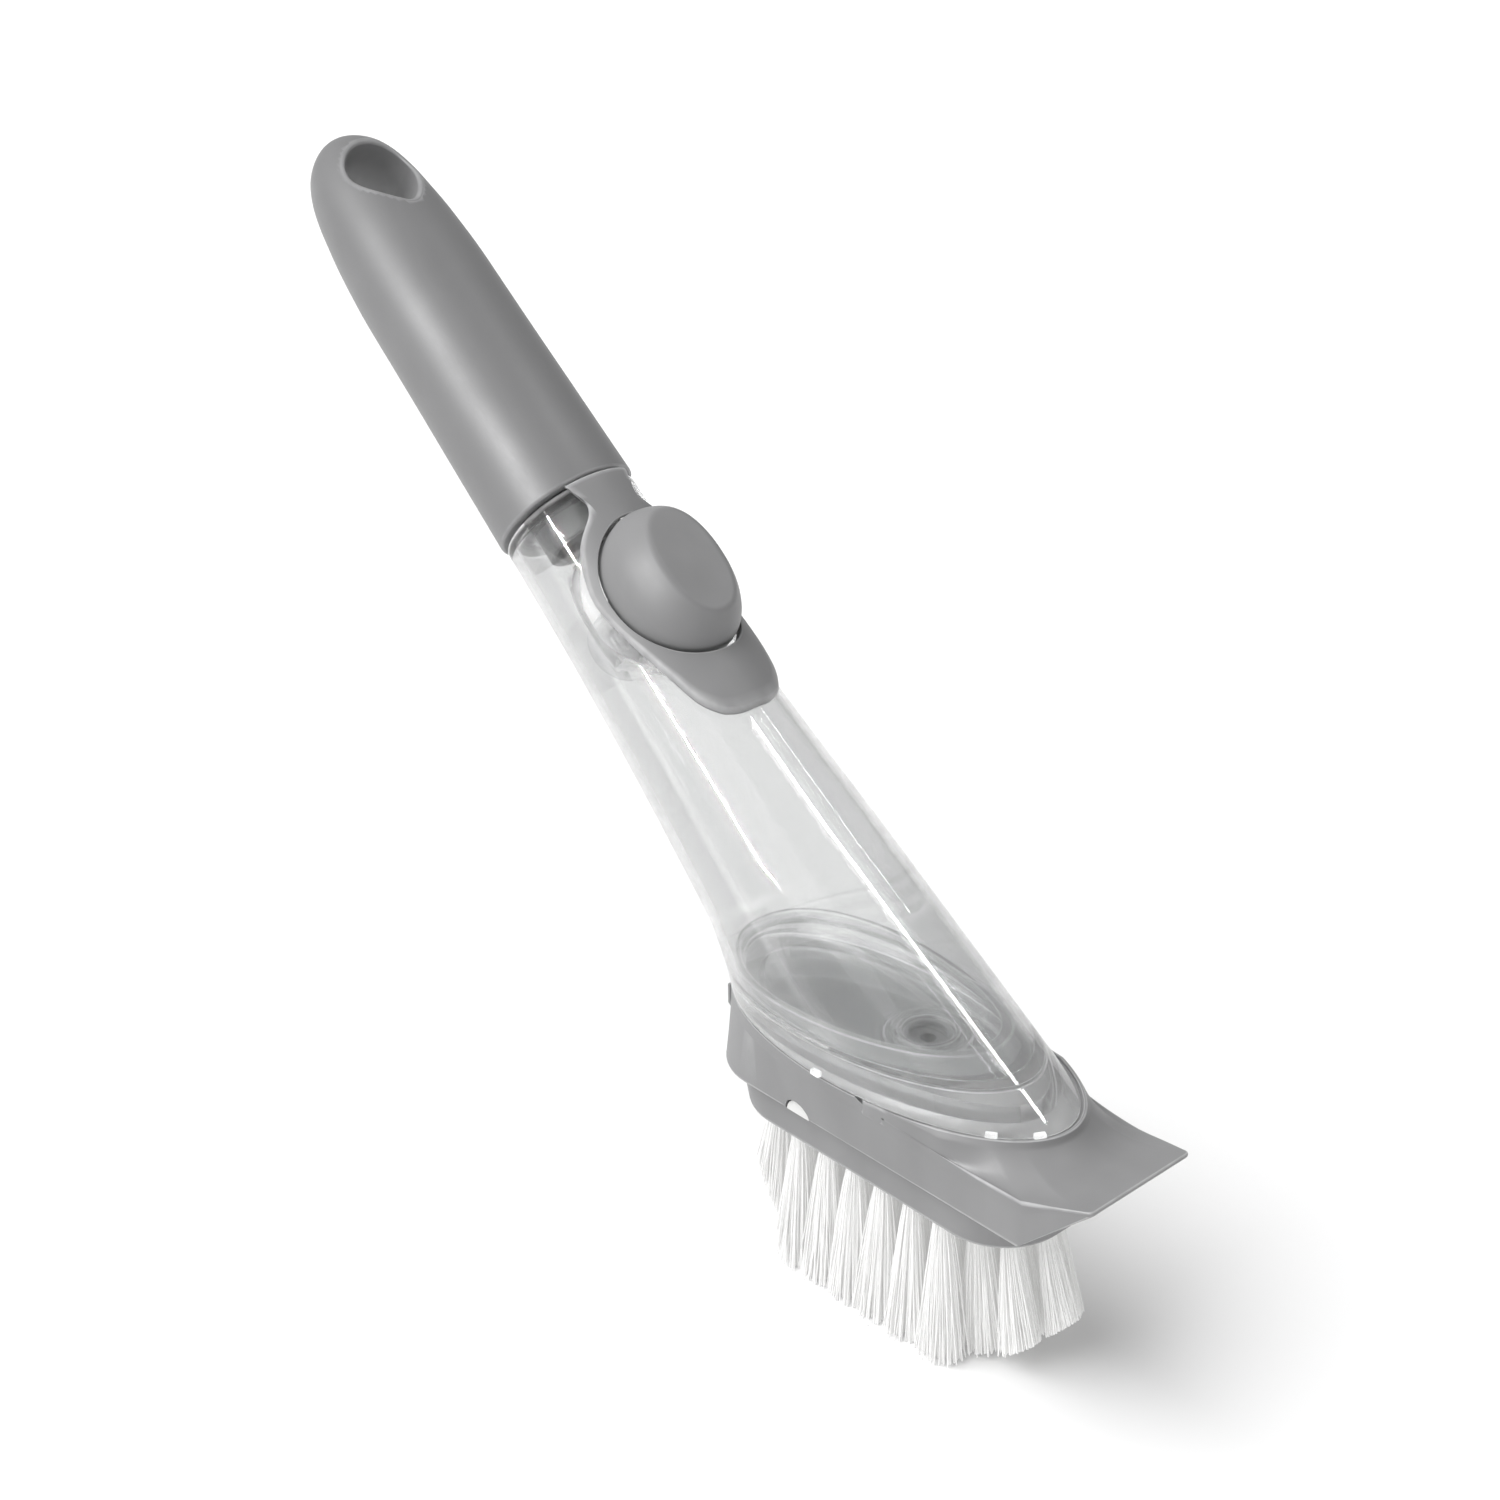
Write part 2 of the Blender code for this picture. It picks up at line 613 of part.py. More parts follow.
def collar_ring(station_share, width_share, rise_share):
    """One cross section of the saddle plate: an outer arc and an inner arc over the tube."""
    station = COLLAR_START + station_share * (COLLAR_END - COLLAR_START)
    inner = tube_radius(station) + CLEARANCE
    rise = COLLAR_THICKNESS * rise_share
    half_angle = math.asin(COLLAR_HALF_WIDTH * width_share / (inner + rise))
    arc = []
    for step in range(COLLAR_ARC_STEPS + 1):
        share = 2 * step / COLLAR_ARC_STEPS - 1
        edge = max(rise - COLLAR_EDGE, 0.0) * share ** COLLAR_EDGE_POWER
        arc.append((half_angle * share, inner + rise - edge))
    arc += [(angle, inner) for angle, radius in reversed(arc)]
    return [(radius * math.cos(angle), radius * math.sin(angle), station) for angle, radius in arc]


def button_collar(handle, press):
    """Saddle plate that covers the button's well, with an oval opening."""
    rings = [collar_ring(*shares) for shares in COLLAR_OUTLINE_SHARES]
    collar = loft("button_collar", rings, satin_grey_finish(), handle)
    opening = [oval(BUTTON_HALF_LENGTH + SLIDE_CLEARANCE, BUTTON_HALF_WIDTH + SLIDE_CLEARANCE, level,
                    BUTTON_OVAL_POWER) for level in (0, BUTTON_HEIGHT)]
    combine(collar, make_cutter(loft("cut_opening", opening, satin_grey_finish(), press)), "DIFFERENCE")
    return collar


def button_ring(rise_share, lean_share, inset):
    """One oval of the button, between its straight skirt and its small flat top."""
    height = BUTTON_SKIRT_FOOT + rise_share * (BUTTON_HEIGHT - inset - BUTTON_SKIRT_FOOT)
    length = BUTTON_HALF_LENGTH - lean_share * (BUTTON_HALF_LENGTH - BUTTON_TOP_HALF_LENGTH)
    width = BUTTON_HALF_WIDTH - lean_share * (BUTTON_HALF_WIDTH - BUTTON_TOP_HALF_WIDTH)
    return oval(length - inset, width - inset, height, BUTTON_OVAL_POWER)


def push_button(press):
    """Hollow oval button with the pump's stem under its top."""
    outside = [button_ring(rise, lean, 0.0) for rise, lean in reversed(BUTTON_SIDE_SHARES)]
    inside = [button_ring(rise, lean, BUTTON_WALL) for rise, lean in BUTTON_SIDE_SHARES]
    button = loft("push_button", outside + inside, satin_grey_finish(), press)
    top = BUTTON_HEIGHT - BUTTON_WALL / 2
    shoulder = piston_top() + CLEARANCE
    disc_top = STEM_FOOT + STEM_DISC_THICKNESS
    profile = [(0, top), (STEM_SHOULDER_RADIUS, top), (STEM_SHOULDER_RADIUS, shoulder),
               (STEM_RADIUS, shoulder), (STEM_RADIUS, disc_top), (STEM_DISC_RADIUS, disc_top),
               (STEM_DISC_RADIUS, STEM_FOOT), (0, STEM_FOOT)]
    stem = turned("add_stem", profile, satin_grey_finish(), press)
    combine(button, make_cutter(stem), "UNION")
    return button


def piston_top():
    """Height of the piston ring's upper side on the stem."""
    return STEM_FOOT + STEM_DISC_THICKNESS + CLEARANCE + PISTON_HEIGHT


def piston_seal(press):
    """Soft cup ring on the stem, with a lip that faces down the pump."""
    top = piston_top()
    foot = top - PISTON_HEIGHT
    outer = CUP_BORE_RADIUS - CLEARANCE
    inner = STEM_RADIUS + CLEARANCE
    profile = [(inner, top), (outer - PISTON_LIP, top), (outer, foot + PISTON_LIP), (outer, foot),
               (outer - PISTON_LIP, foot), (STEM_DISC_RADIUS, foot + PISTON_LIP), (inner, foot + PISTON_LIP)]
    return turned("piston_seal", profile, seal_finish(), press, looped=True)


def pump_cup(press):
    """Pump cylinder that hangs by its flange in the tank's port."""
    flange_foot = WELL_FLOOR + GASKET_THICKNESS + 2 * CLEARANCE
    flange_top = flange_foot + CUP_FLANGE_THICKNESS
    outer = CUP_BORE_RADIUS + CUP_WALL
    profile = [(CUP_HOLE_RADIUS, CUP_FLOOR), (CUP_BORE_RADIUS, CUP_FLOOR), (CUP_BORE_RADIUS, flange_top),
               (CUP_FLANGE_RADIUS, flange_top), (CUP_FLANGE_RADIUS, flange_foot), (outer, flange_foot),
               (outer, CUP_FLOOR - CUP_FLOOR_THICKNESS), (CUP_HOLE_RADIUS, CUP_FLOOR - CUP_FLOOR_THICKNESS)]
    return turned("pump_cup", profile, white_plastic_finish(), press, looped=True)


def cup_gasket(press):
    """Flat ring between the pump's flange and the floor of the well."""
    foot = WELL_FLOOR + CLEARANCE
    top = foot + GASKET_THICKNESS
    outer = CUP_FLANGE_RADIUS
    inner = outer - GASKET_WIDTH
    return turned("cup_gasket", [(inner, top), (outer, top), (outer, foot), (inner, foot)],
                  seal_finish(), press, looped=True)


def spring_points():
    """Middle line of the button's spring, from the pump's floor to the stem."""
    low = CUP_FLOOR + CLEARANCE + SPRING_WIRE_RADIUS
    high = STEM_FOOT - CLEARANCE - SPRING_WIRE_RADIUS
    count = SPRING_TURNS * SPRING_POINTS_PER_TURN
    points = []
    for step in range(count + 1):
        angle = 2 * math.pi * step / SPRING_POINTS_PER_TURN
        height = low + (high - low) * step / count
        points.append(Vector((SPRING_RADIUS * math.cos(angle), SPRING_RADIUS * math.sin(angle), height)))
    return points


def button_spring(press):
    """Coil spring that pushes the button out."""
    points = spring_points()
    apart = [(first - second).length for place, first in enumerate(points)
             for second in points[place + SPRING_POINTS_PER_TURN // 2:]]
    print("button_spring: least gap to itself", round(1000 * (min(apart) - 2 * SPRING_WIRE_RADIUS), 3), "mm")
    curve = bpy.data.curves.new("button_spring", "CURVE")
    curve.dimensions = "3D"
    curve.bevel_depth = SPRING_WIRE_RADIUS
    curve.bevel_resolution = 1
    curve.use_fill_caps = True
    spline = curve.splines.new("POLY")
    spline.points.add(len(points) - 1)
    for place, point in enumerate(points):
        spline.points[place].co = (*point, 1.0)
    return add_object("button_spring", curve, spring_finish(), press)


def handle_grip(handle):
    """Soft grip: a turned handle with a blind bore and an oval hang hole at its end."""
    waist = GRIP_START + GRIP_WAIST_SHARE * GRIP_LENGTH
    profile = []
    for share, width in reversed(GRIP_END_SHARES):
        profile.append((GRIP_WAIST_RADIUS * width, waist + share * (GRIP_END - waist)))
    for share, drop in GRIP_BODY_SHARES:
        radius = GRIP_RADIUS - drop * (GRIP_RADIUS - GRIP_WAIST_RADIUS)
        profile.append((radius, GRIP_START + share * (waist - GRIP_START)))
    bore_end = GRIP_START + GRIP_BORE_LENGTH
    profile += [(GRIP_RADIUS, GRIP_START + GRIP_EDGE_ROUND), (GRIP_RADIUS - GRIP_EDGE_ROUND, GRIP_START),
                (GRIP_BORE_RADIUS, GRIP_START), (GRIP_BORE_RADIUS, bore_end - GRIP_EDGE_ROUND),
                (GRIP_BORE_RADIUS - GRIP_EDGE_ROUND, bore_end), (0, bore_end)]
    grip = turned("handle_grip", profile, soft_grip_finish(), handle, steps=TURN_STEPS)
    combine(grip, hang_hole(handle), "DIFFERENCE")
    return grip


def hang_hole(handle):
    """Oval hole right through the grip, flared at both faces."""
    middle = GRIP_END - HOLE_BACK_FROM_END
    rings = []
    for level, widening in HOLE_FLARE_SHARES:
        flat = oval(HOLE_HALF_LENGTH + widening * HOLE_FLARE, HOLE_HALF_WIDTH + widening * HOLE_FLARE, 0)
        depth = level * GRIP_WAIST_RADIUS
        rings.append([(depth, across, middle + along) for along, across, flat_height in flat])
    return make_cutter(loft("cut_hang_hole", rings, soft_grip_finish(), handle))


def grip_insert(handle):
    """Cap inside the grip that screws onto the neck. Its thread's room is left over the neck."""
    foot = GRIP_START + GRIP_EDGE_ROUND
    inner = NECK_RADIUS + THREAD_HEIGHT + CLEARANCE
    outer = inner + INSERT_WALL
    ceiling = stopper_top() + CLEARANCE
    top = ceiling + INSERT_CAP_THICKNESS
    profile = [(0, top), (outer, top), (outer, foot), (inner, foot), (inner, ceiling), (0, ceiling)]
    return turned("grip_insert", profile, satin_grey_finish(), handle, steps=TURN_STEPS)


def stopper_top():
    """Upper side of the stopper's flange on the neck."""
    return NECK_TOP + CLEARANCE + STOPPER_FLANGE


def neck_seal(handle):
    """Hollow stopper: a flange on the neck's top and a skirt down its bore."""
    top = stopper_top()
    flange_foot = NECK_TOP + CLEARANCE
    outer = NECK_BORE_RADIUS - CLEARANCE
    inner = outer - STOPPER_WALL
    foot = flange_foot - STOPPER_DEPTH
    profile = [(0, top), (NECK_RADIUS, top), (NECK_RADIUS, flange_foot), (outer, flange_foot), (outer, foot),
               (inner, foot), (inner, flange_foot), (0, flange_foot)]
    return turned("neck_seal", profile, seal_finish(), handle, steps=TURN_STEPS)


def rounded_distance(x, y, half_length, half_width, radius):
    """Signed distance from a point to a rounded rectangle round the origin."""
    over_x = abs(x) - (half_length - radius)
    over_y = abs(y) - (half_width - radius)
    outside = math.hypot(max(over_x, 0.0), max(over_y, 0.0))
    return outside + min(max(over_x, over_y), 0.0) - radius


def on_rounded(towards, centre_x, half_length, half_width, radius, start_x=0.0):
    """Where a ray from (start_x, 0) towards a point meets a rounded rectangle."""
    direction = Vector((towards[0] - start_x, towards[1])).normalized()
    near, far = 0.0, 2 * (half_length + half_width)
    for halving in range(HALVINGS):
        middle = (near + far) / 2
        x = start_x + direction.x * middle - centre_x
        if rounded_distance(x, direction.y * middle, half_length, half_width, radius) > 0:
            far = middle
        else:
            near = middle
    return start_x + direction.x * near, direction.y * near


def on_oval(towards, half_length, half_width):
    """Where the ray from the foot's middle towards a point meets an oval."""
    share = math.hypot(towards[0] / half_length, towards[1] / half_width)
    return towards[0] / share, towards[1] / share


def top_edge():
    """Upper edge of one side of the head: round the foot, down the crease, out to the blade and across."""
    start = math.acos(CREASE_START_X / RIM_HALF_LENGTH)
    start_width = RIM_HALF_WIDTH * math.sin(start)
    crease_foot = DECK_Z - CREASE_DROP
    points = []
    for step in range(REAR_STEPS + 1):
        angle = math.pi + (start - math.pi) * step / REAR_STEPS
        points.append(Vector((RIM_HALF_LENGTH * math.cos(angle), RIM_HALF_WIDTH * math.sin(angle), DECK_Z)))
    for step in range(1, CREASE_STEPS + 1):
        share = step / CREASE_STEPS
        x = CREASE_START_X + share * (CREASE_END_X - CREASE_START_X)
        y = CREASE_END_HALF_WIDTH + (start_width - CREASE_END_HALF_WIDTH) * (1 - share) ** CREASE_POWER
        points.append(Vector((x, y, crease_foot + CREASE_DROP * (1 - share) ** 2)))
    corner = points[-1]
    tip = Vector((BLADE_X, BLADE_HALF_WIDTH, crease_foot + BLADE_RISE))
    points += [corner.lerp(tip, step / BLADE_SIDE_STEPS) for step in range(1, BLADE_SIDE_STEPS + 1)]
    middle = Vector((BLADE_X, 0, tip.z))
    points += [tip.lerp(middle, step / BLADE_STEPS) for step in range(1, BLADE_STEPS + 1)]
    points[0].y = 0.0
    return points


def lip_edge(top):
    """Lower edge of one side of the head, a point for each point of the upper edge."""
    half_length = (LIP_FRONT + LIP_REAR) / 2
    centre_x = (LIP_FRONT - LIP_REAR) / 2
    points = []
    for place in range(REAR_STEPS + 1):
        x, y = on_rounded(top[place], centre_x, half_length, LIP_HALF_WIDTH, LIP_CORNER_RADIUS)
        points.append(Vector((x, y, LIP_Z)))
    last = points[-1]
    corner = Vector((LIP_FRONT, LIP_HALF_WIDTH, LIP_Z))
    points += [last.lerp(corner, step / CREASE_STEPS) for step in range(1, CREASE_STEPS + 1)]
    points += [corner] * BLADE_SIDE_STEPS
    middle = Vector((LIP_FRONT, 0, LIP_Z))
    points += [corner.lerp(middle, step / BLADE_STEPS) for step in range(1, BLADE_STEPS + 1)]
    return points


def deck_column(edge, behind_crease):
    """From the head's edge inwards: the dish, the bead round the foot and the deck under the foot's rim."""
    if behind_crease:
        return [edge] * (len(DISH_SHARES) + 4)
    foot_x, foot_y = on_oval(edge, RIM_HALF_LENGTH, RIM_HALF_WIDTH)
    room = max(0.0, math.hypot(edge.x, edge.y) - math.hypot(foot_x, foot_y))
    bead = min(1.0, room / BEAD_RUN_IN)

    def beside_foot(offset, height):
        x, y = on_oval(edge, RIM_HALF_LENGTH + offset * bead, RIM_HALF_WIDTH + offset * bead)
        return Vector((x, y, DECK_Z + height * bead))

    bead_outer = BEAD_GAP + BEAD_WIDTH
    foot = beside_foot(bead_outer + BEAD_SLOPE, -BEAD_FOOT_DROP)
    slope = BLADE_RISE / (BLADE_X - CREASE_END_X)
    column = []
    for share in DISH_SHARES:
        point = edge.lerp(foot, share)
        base = edge.z + slope * (point.x - edge.x)
        foot_base = edge.z + slope * (foot.x - edge.x)
        column.append(Vector((point.x, point.y, base + (foot.z - foot_base) * share ** DISH_POWER)))
    column += [foot, beside_foot(bead_outer, BEAD_HEIGHT), beside_foot(BEAD_GAP, BEAD_HEIGHT),
               beside_foot(BEAD_GAP, 0.0)]
    return column


def block_point(towards, inset, height, draft=0.0):
    """A point of the bristle block's outline, or of the pocket round it where the inset is negative."""
    x, y = on_rounded(towards, BLOCK_X, BLOCK_HALF_LENGTH - draft - inset, BLOCK_HALF_WIDTH - inset,
                      BLOCK_CORNER_RADIUS - inset, BLOCK_X)
    return Vector((x, y, height))


def shell_column(edge, lip, behind_crease):
    """One cross section of the head shell, from the lip up its flank, over the top and back inside."""
    web_top = DECK_Z - SOCKET_DEPTH
    web_foot = web_top - WEB_THICKNESS
    column = [lip, edge - Vector((0, 0, BLADE_EDGE)), edge]
    column += deck_column(edge, behind_crease)
    x, y = on_oval(edge, SOCKET_PLUG_HALF_LENGTH + CLEARANCE, SOCKET_PLUG_HALF_WIDTH + 2 * CLEARANCE)
    column += [Vector((x, y, DECK_Z)), Vector((x, y, web_top))]
    outlet = Vector((OUTLET_X, 0))
    hole = outlet + (Vector((x, y)) - outlet).normalized() * (SPOUT_RADIUS + 2 * CLEARANCE)
    column += [Vector((*hole, web_top)), Vector((*hole, web_foot))]
    column += [block_point(lip, -CLEARANCE, web_foot), block_point(lip, -CLEARANCE, LIP_Z)]
    return column


def all_round(half):
    """Complete a half outline, from rear middle to front middle, with its mirror image."""
    return half + [Vector((point.x, -point.y, point.z)) for point in reversed(half[1:-1])]


def head_shell():
    """Head: socket for the foot, crease, dished front, scraper blade, pocket for the block, rear tongue."""
    top = top_edge()
    lip = lip_edge(top)
    columns = [shell_column(edge, low, place <= REAR_STEPS)
               for place, (edge, low) in enumerate(zip(top, lip))]
    rings = [all_round([column[level] for column in columns]) for level in range(len(columns[0]))]
    shell = loft("head_shell", rings, satin_grey_finish(), looped=True)
    combine(shell, rear_tongue(), "UNION")
    for side in (-1, 1):
        combine(shell, lock_notch(side), "DIFFERENCE")
    return shell


def rear_tongue():
    """Springy thumb tab that stands off the head's rear wall, with its root below."""
    back = -(LIP_REAR + TONGUE_OVERHANG)
    face = back + TONGUE_THICKNESS
    root = -(LIP_REAR - TONGUE_ROOT_DEPTH)
    top = DECK_Z - TONGUE_DROP
    foot = top - TONGUE_HEIGHT
    root_top = foot + TONGUE_THICKNESS
    root_foot = foot - TONGUE_ROOT_DROP
    outline = [(root, root_foot), (back, foot), (back, top), (face, top), (face, root_top),
               (root, root_foot + TONGUE_ROOT_HEIGHT)]
    return make_cutter(extruded("add_tongue", outline, -TONGUE_HALF_WIDTH, TONGUE_HALF_WIDTH,
                                satin_grey_finish()))


def half_moon(radius):
    """Half disc outline with its straight side down on the lip."""
    angles = (math.pi * step / LOCK_STEPS for step in range(LOCK_STEPS + 1))
    return [(LOCK_X + radius * math.cos(angle), LIP_Z + radius * math.sin(angle)) for angle in angles]


def lock_notch(side):
    """Half-moon window in the shell's lip."""
    reach = LOCK_RADIUS + CLEARANCE
    outline = half_moon(reach)
    outline += [(LOCK_X - reach, LIP_Z - OVERRUN), (LOCK_X + reach, LIP_Z - OVERRUN)]
    low = side * (BLOCK_HALF_WIDTH + CLEARANCE / 2)
    high = side * (LIP_HALF_WIDTH + OVERRUN)
    name = "cut_lock_near" if side < 0 else "cut_lock_far"
    return make_cutter(extruded(name, outline, low, high, satin_grey_finish()))


def lock_plug(name, side):
    """White half-moon plug between the block and the shell."""
    inner_face = side * (BLOCK_HALF_WIDTH + CLEARANCE)
    return extruded(name, half_moon(LOCK_RADIUS), inner_face, side * LIP_HALF_WIDTH, white_plastic_finish())


def spout_seal(outlet):
    """Soft ring round the spout, on the web of the head."""
    foot = DECK_Z - SOCKET_DEPTH + CLEARANCE
    top = foot + SPOUT_SEAL_HEIGHT
    inner = SPOUT_RADIUS + CLEARANCE
    outer = inner + SPOUT_SEAL_WIDTH
    return turned("spout_seal", [(inner, top), (outer, top), (outer, foot), (inner, foot)],
                  seal_finish(), outlet, looped=True)


def row_half_lengths():
    """Half length of each row of bristles, from the near side to the far side."""
    return (OUTER_ROW_HALF_LENGTH, SECOND_ROW_HALF_LENGTH, CENTRE_ROW_HALF_LENGTH, SECOND_ROW_HALF_LENGTH,
            OUTER_ROW_HALF_LENGTH)


def bristle_block(outlet):
    """Block that fills the pocket, with a slot for each row's backing and a duct for the soap."""
    lip = lip_edge(top_edge())
    foot = BRISTLE_LENGTH
    levels = ((BLOCK_EDGE_ROUND, foot, BLOCK_END_DRAFT), (0.0, foot + BLOCK_EDGE_ROUND, BLOCK_END_DRAFT),
              (0.0, LIP_Z, 0.0), (0.0, foot + BLOCK_HEIGHT, 0.0))
    rings = [all_round([block_point(low, inset, level, draft) for low in lip])
             for inset, level, draft in levels]
    block = loft("bristle_block", rings, satin_grey_finish())
    for place, half_length in enumerate(row_half_lengths()):
        middle = (place - 2) * ROW_PITCH
        half_width = ROW_HALF_WIDTH + CLEARANCE
        slot = box("cut_slot_%d" % (place + 1),
                   (BLOCK_X - half_length - CLEARANCE, middle - half_width, foot - OVERRUN),
                   (BLOCK_X + half_length + CLEARANCE, middle + half_width, foot + ROW_THICKNESS + CLEARANCE),
                   satin_grey_finish())
        combine(block, make_cutter(slot), "DIFFERENCE")
    combine(block, duct("cut_block_duct", DUCT_RADIUS, outlet), "DIFFERENCE")
    return block


def duct(name, radius, outlet):
    """Upright round cutter for the soap's way out."""
    top = BRISTLE_LENGTH + BLOCK_HEIGHT + OVERRUN
    foot = BRISTLE_LENGTH - OVERRUN
    return make_cutter(turned(name, [(0, top), (radius, top), (radius, foot), (0, foot)],
                              satin_grey_finish(), outlet, steps=SMALL_TURN_STEPS // 2))


def crown_height(x, y):
    """Height at which the bristles are trimmed: flat in the middle, rising at both ends."""
    ahead = max(0.0, (x - CROWN_FRONT_START) / CROWN_FRONT_RUN)
    splayed_width = 2 * ROW_PITCH + SPLAY_WIDTH
    rear_start = -CROWN_REAR_START - CROWN_REAR_EXTRA * max(0.0, 1 - (y / splayed_width) ** 2)
    behind = max(0.0, (rear_start - x) / CROWN_REAR_RUN)
    return min(CROWN_FRONT_RISE * ahead ** 2 + CROWN_REAR_RISE * behind ** 2, CROWN_FRONT_RISE)


def strand_ends(tuft_x, row_y, around, ring_share):
    """Root and trimmed tip of one strand of a tuft."""
    offset = Vector((math.cos(around), math.sin(around))) * TUFT_RADIUS * ring_share
    root = Vector((tuft_x + offset.x, row_y + offset.y, BRISTLE_LENGTH + ROW_THICKNESS / 2))
    along_share = tuft_x / (BLOCK_X + CENTRE_ROW_HALF_LENGTH)
    across_share = row_y / (2 * ROW_PITCH)
    splay_x = SPLAY_LENGTH * math.copysign(abs(along_share) ** SPLAY_POWER, along_share)
    splay_y = SPLAY_WIDTH * math.copysign(across_share ** 2, across_share)
    floor = Vector((root.x + splay_x + offset.x * TUFT_SPREAD, root.y + splay_y + offset.y * TUFT_SPREAD, 0))
    low, high = 0.0, 1.0
    for halving in range(HALVINGS):
        middle = (low + high) / 2
        point = root.lerp(floor, middle)
        if point.z > crown_height(point.x, point.y):
            low = middle
        else:
            high = middle
    tip = root.lerp(floor, high)
    if crown_height(tip.x, tip.y) == 0:
        tip = floor
    return root, tip


def add_strand(bm, root, tip):
    """A thin prism of three sides with level ends, so a strand that meets the floor is cut flat."""
    ends = []
    for end in (root, tip):
        angles = (2 * math.pi * step / STRAND_SIDES for step in range(STRAND_SIDES))
        ends.append([bm.verts.new(end + Vector((math.cos(angle), math.sin(angle), 0)) * STRAND_RADIUS)
                     for angle in angles])
    bm.faces.new(ends[0])
    bm.faces.new(reversed(ends[1]))
    for here in range(STRAND_SIDES):
        after = (here + 1) % STRAND_SIDES
        bm.faces.new((ends[1][here], ends[1][after], ends[0][after], ends[0][here]))


def tuft_places(half_length, row):
    """Middles of a row's tufts. Rows beside the centre are set half a pitch over, past the soap's duct."""
    shift = TUFT_PITCH / 2 if row % 2 else 0.0
    reach = half_length - TUFT_RADIUS
    first = math.ceil((BLOCK_X - reach - shift) / TUFT_PITCH)
    last = math.floor((BLOCK_X + reach - shift) / TUFT_PITCH)
    places = [shift + number * TUFT_PITCH for number in range(first, last + 1)]
    if row == 2:
        places = [place for place in places if abs(place - OUTLET_X) > DUCT_RADIUS + TUFT_RADIUS]
    return places


def bristle_row(row, half_length, outlet):
    """One slice of backing with its tufts of nylon strands."""
    middle = (row - 2) * ROW_PITCH
    name = "bristle_row_%d" % (row + 1)
    foot = BRISTLE_LENGTH
    backing = box(name, (BLOCK_X - half_length, middle - ROW_HALF_WIDTH, foot),
                  (BLOCK_X + half_length, middle + ROW_HALF_WIDTH, foot + ROW_THICKNESS), bristle_finish())
    bm = bmesh.new()
    count = 0
    for place in tuft_places(half_length, row):
        for ring_share, strands in TUFT_RINGS:
            for step in range(strands):
                around = 2 * math.pi * (step + TUFT_TURN_SHARE) / strands
                root, tip = strand_ends(place, middle, around, ring_share)
                add_strand(bm, root, tip)
                count += 1
    tufts = add_object("add_tufts_%d" % (row + 1), mesh_from(bm, name, turn_outwards=False), bristle_finish())
    combine(backing, make_cutter(tufts), "UNION")
    if row == 2:
        combine(backing, duct("cut_row_duct", ROW_DUCT_RADIUS, outlet), "DIFFERENCE")
    return count


def frame_at(name, matrix):
    """An empty that carries the pieces of one axis."""
    empty = bpy.data.objects.new(name, None)
    collection("dish_brush").objects.link(empty)
    empty.matrix_world = matrix
    return empty


def build_brush():
    """Build every piece of the dish brush."""
    clear_scene()
    handle = frame_at("handle_axis", HANDLE)
    press = frame_at("press_axis", PRESS)
    outlet = frame_at("outlet_axis", Matrix.Translation((OUTLET_X, 0, 0)))
    soap_tank(handle, press)
    button_well(handle, press)
    tank_foot()
    outlet_valve(outlet)
    valve_retainer(outlet)
    button_collar(handle, press)
    push_button(press)
    piston_seal(press)
    pump_cup(press)
    cup_gasket(press)
    button_spring(press)
    handle_grip(handle)
    grip_insert(handle)
    neck_seal(handle)
    head_shell()
    lock_plug("lock_plug_near", -1)
    lock_plug("lock_plug_far", 1)
    spout_seal(outlet)
    bristle_block(outlet)
    strands = sum(bristle_row(row, half_length, outlet)
                  for row, half_length in enumerate(row_half_lengths()))
    print("strands in all:", strands)


build_brush()
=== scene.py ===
"""Dish brush, dressed: every visible piece with its finish, the floor, the light and the camera.

Sizes are in metres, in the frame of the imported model: +Z up, the bristle tips on Z = 0, +X to the blade.
The handle has its own frame: X is square to the handle on the button's side, Z runs up to the grip's end.
The button has another: Z is the way out of the tank, X points down the handle.
A ring is a row of points round a piece. A wall is a list of rings, each with the rounding of its corner.
"""

import math
import random

import bmesh
import bpy
import numpy as np
from mathutils import Matrix, Vector


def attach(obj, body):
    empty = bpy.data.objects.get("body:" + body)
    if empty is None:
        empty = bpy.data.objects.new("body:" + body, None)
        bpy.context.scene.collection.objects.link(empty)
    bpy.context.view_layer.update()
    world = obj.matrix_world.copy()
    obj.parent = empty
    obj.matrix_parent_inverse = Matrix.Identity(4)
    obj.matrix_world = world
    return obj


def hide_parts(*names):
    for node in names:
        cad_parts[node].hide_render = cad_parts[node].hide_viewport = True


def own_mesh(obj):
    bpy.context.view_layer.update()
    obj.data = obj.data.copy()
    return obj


bl_info = {
    "name": "Dish Brush",
    "version": (1, 0, 0),
    "blender": (4, 5, 0),
    "location": "3D View > Sidebar > Dish Brush",
    "description": "Builds a soap-dispensing dish brush round its packed model, with floor, light and camera",
    "category": "Add Mesh",
}

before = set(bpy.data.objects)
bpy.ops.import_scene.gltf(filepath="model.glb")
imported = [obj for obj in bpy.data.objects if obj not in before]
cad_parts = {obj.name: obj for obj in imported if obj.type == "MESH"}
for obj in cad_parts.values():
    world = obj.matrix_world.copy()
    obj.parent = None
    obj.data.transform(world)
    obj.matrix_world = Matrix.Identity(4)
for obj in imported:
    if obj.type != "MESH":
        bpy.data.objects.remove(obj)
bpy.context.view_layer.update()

# Fits and mesh steps
CLEARANCE = 0.0003
WELD_DISTANCE = 0.000001
OVERRUN = 0.004
ROUND = 144
SMALL_ROUND = 72
CORNER_STEPS = 4
BEVEL_STEPS = 3
HOLD_SHARE = 0.25
CUT_SHARE = 0.45
SHARP_ANGLE = math.radians(50)
HALVINGS = 30
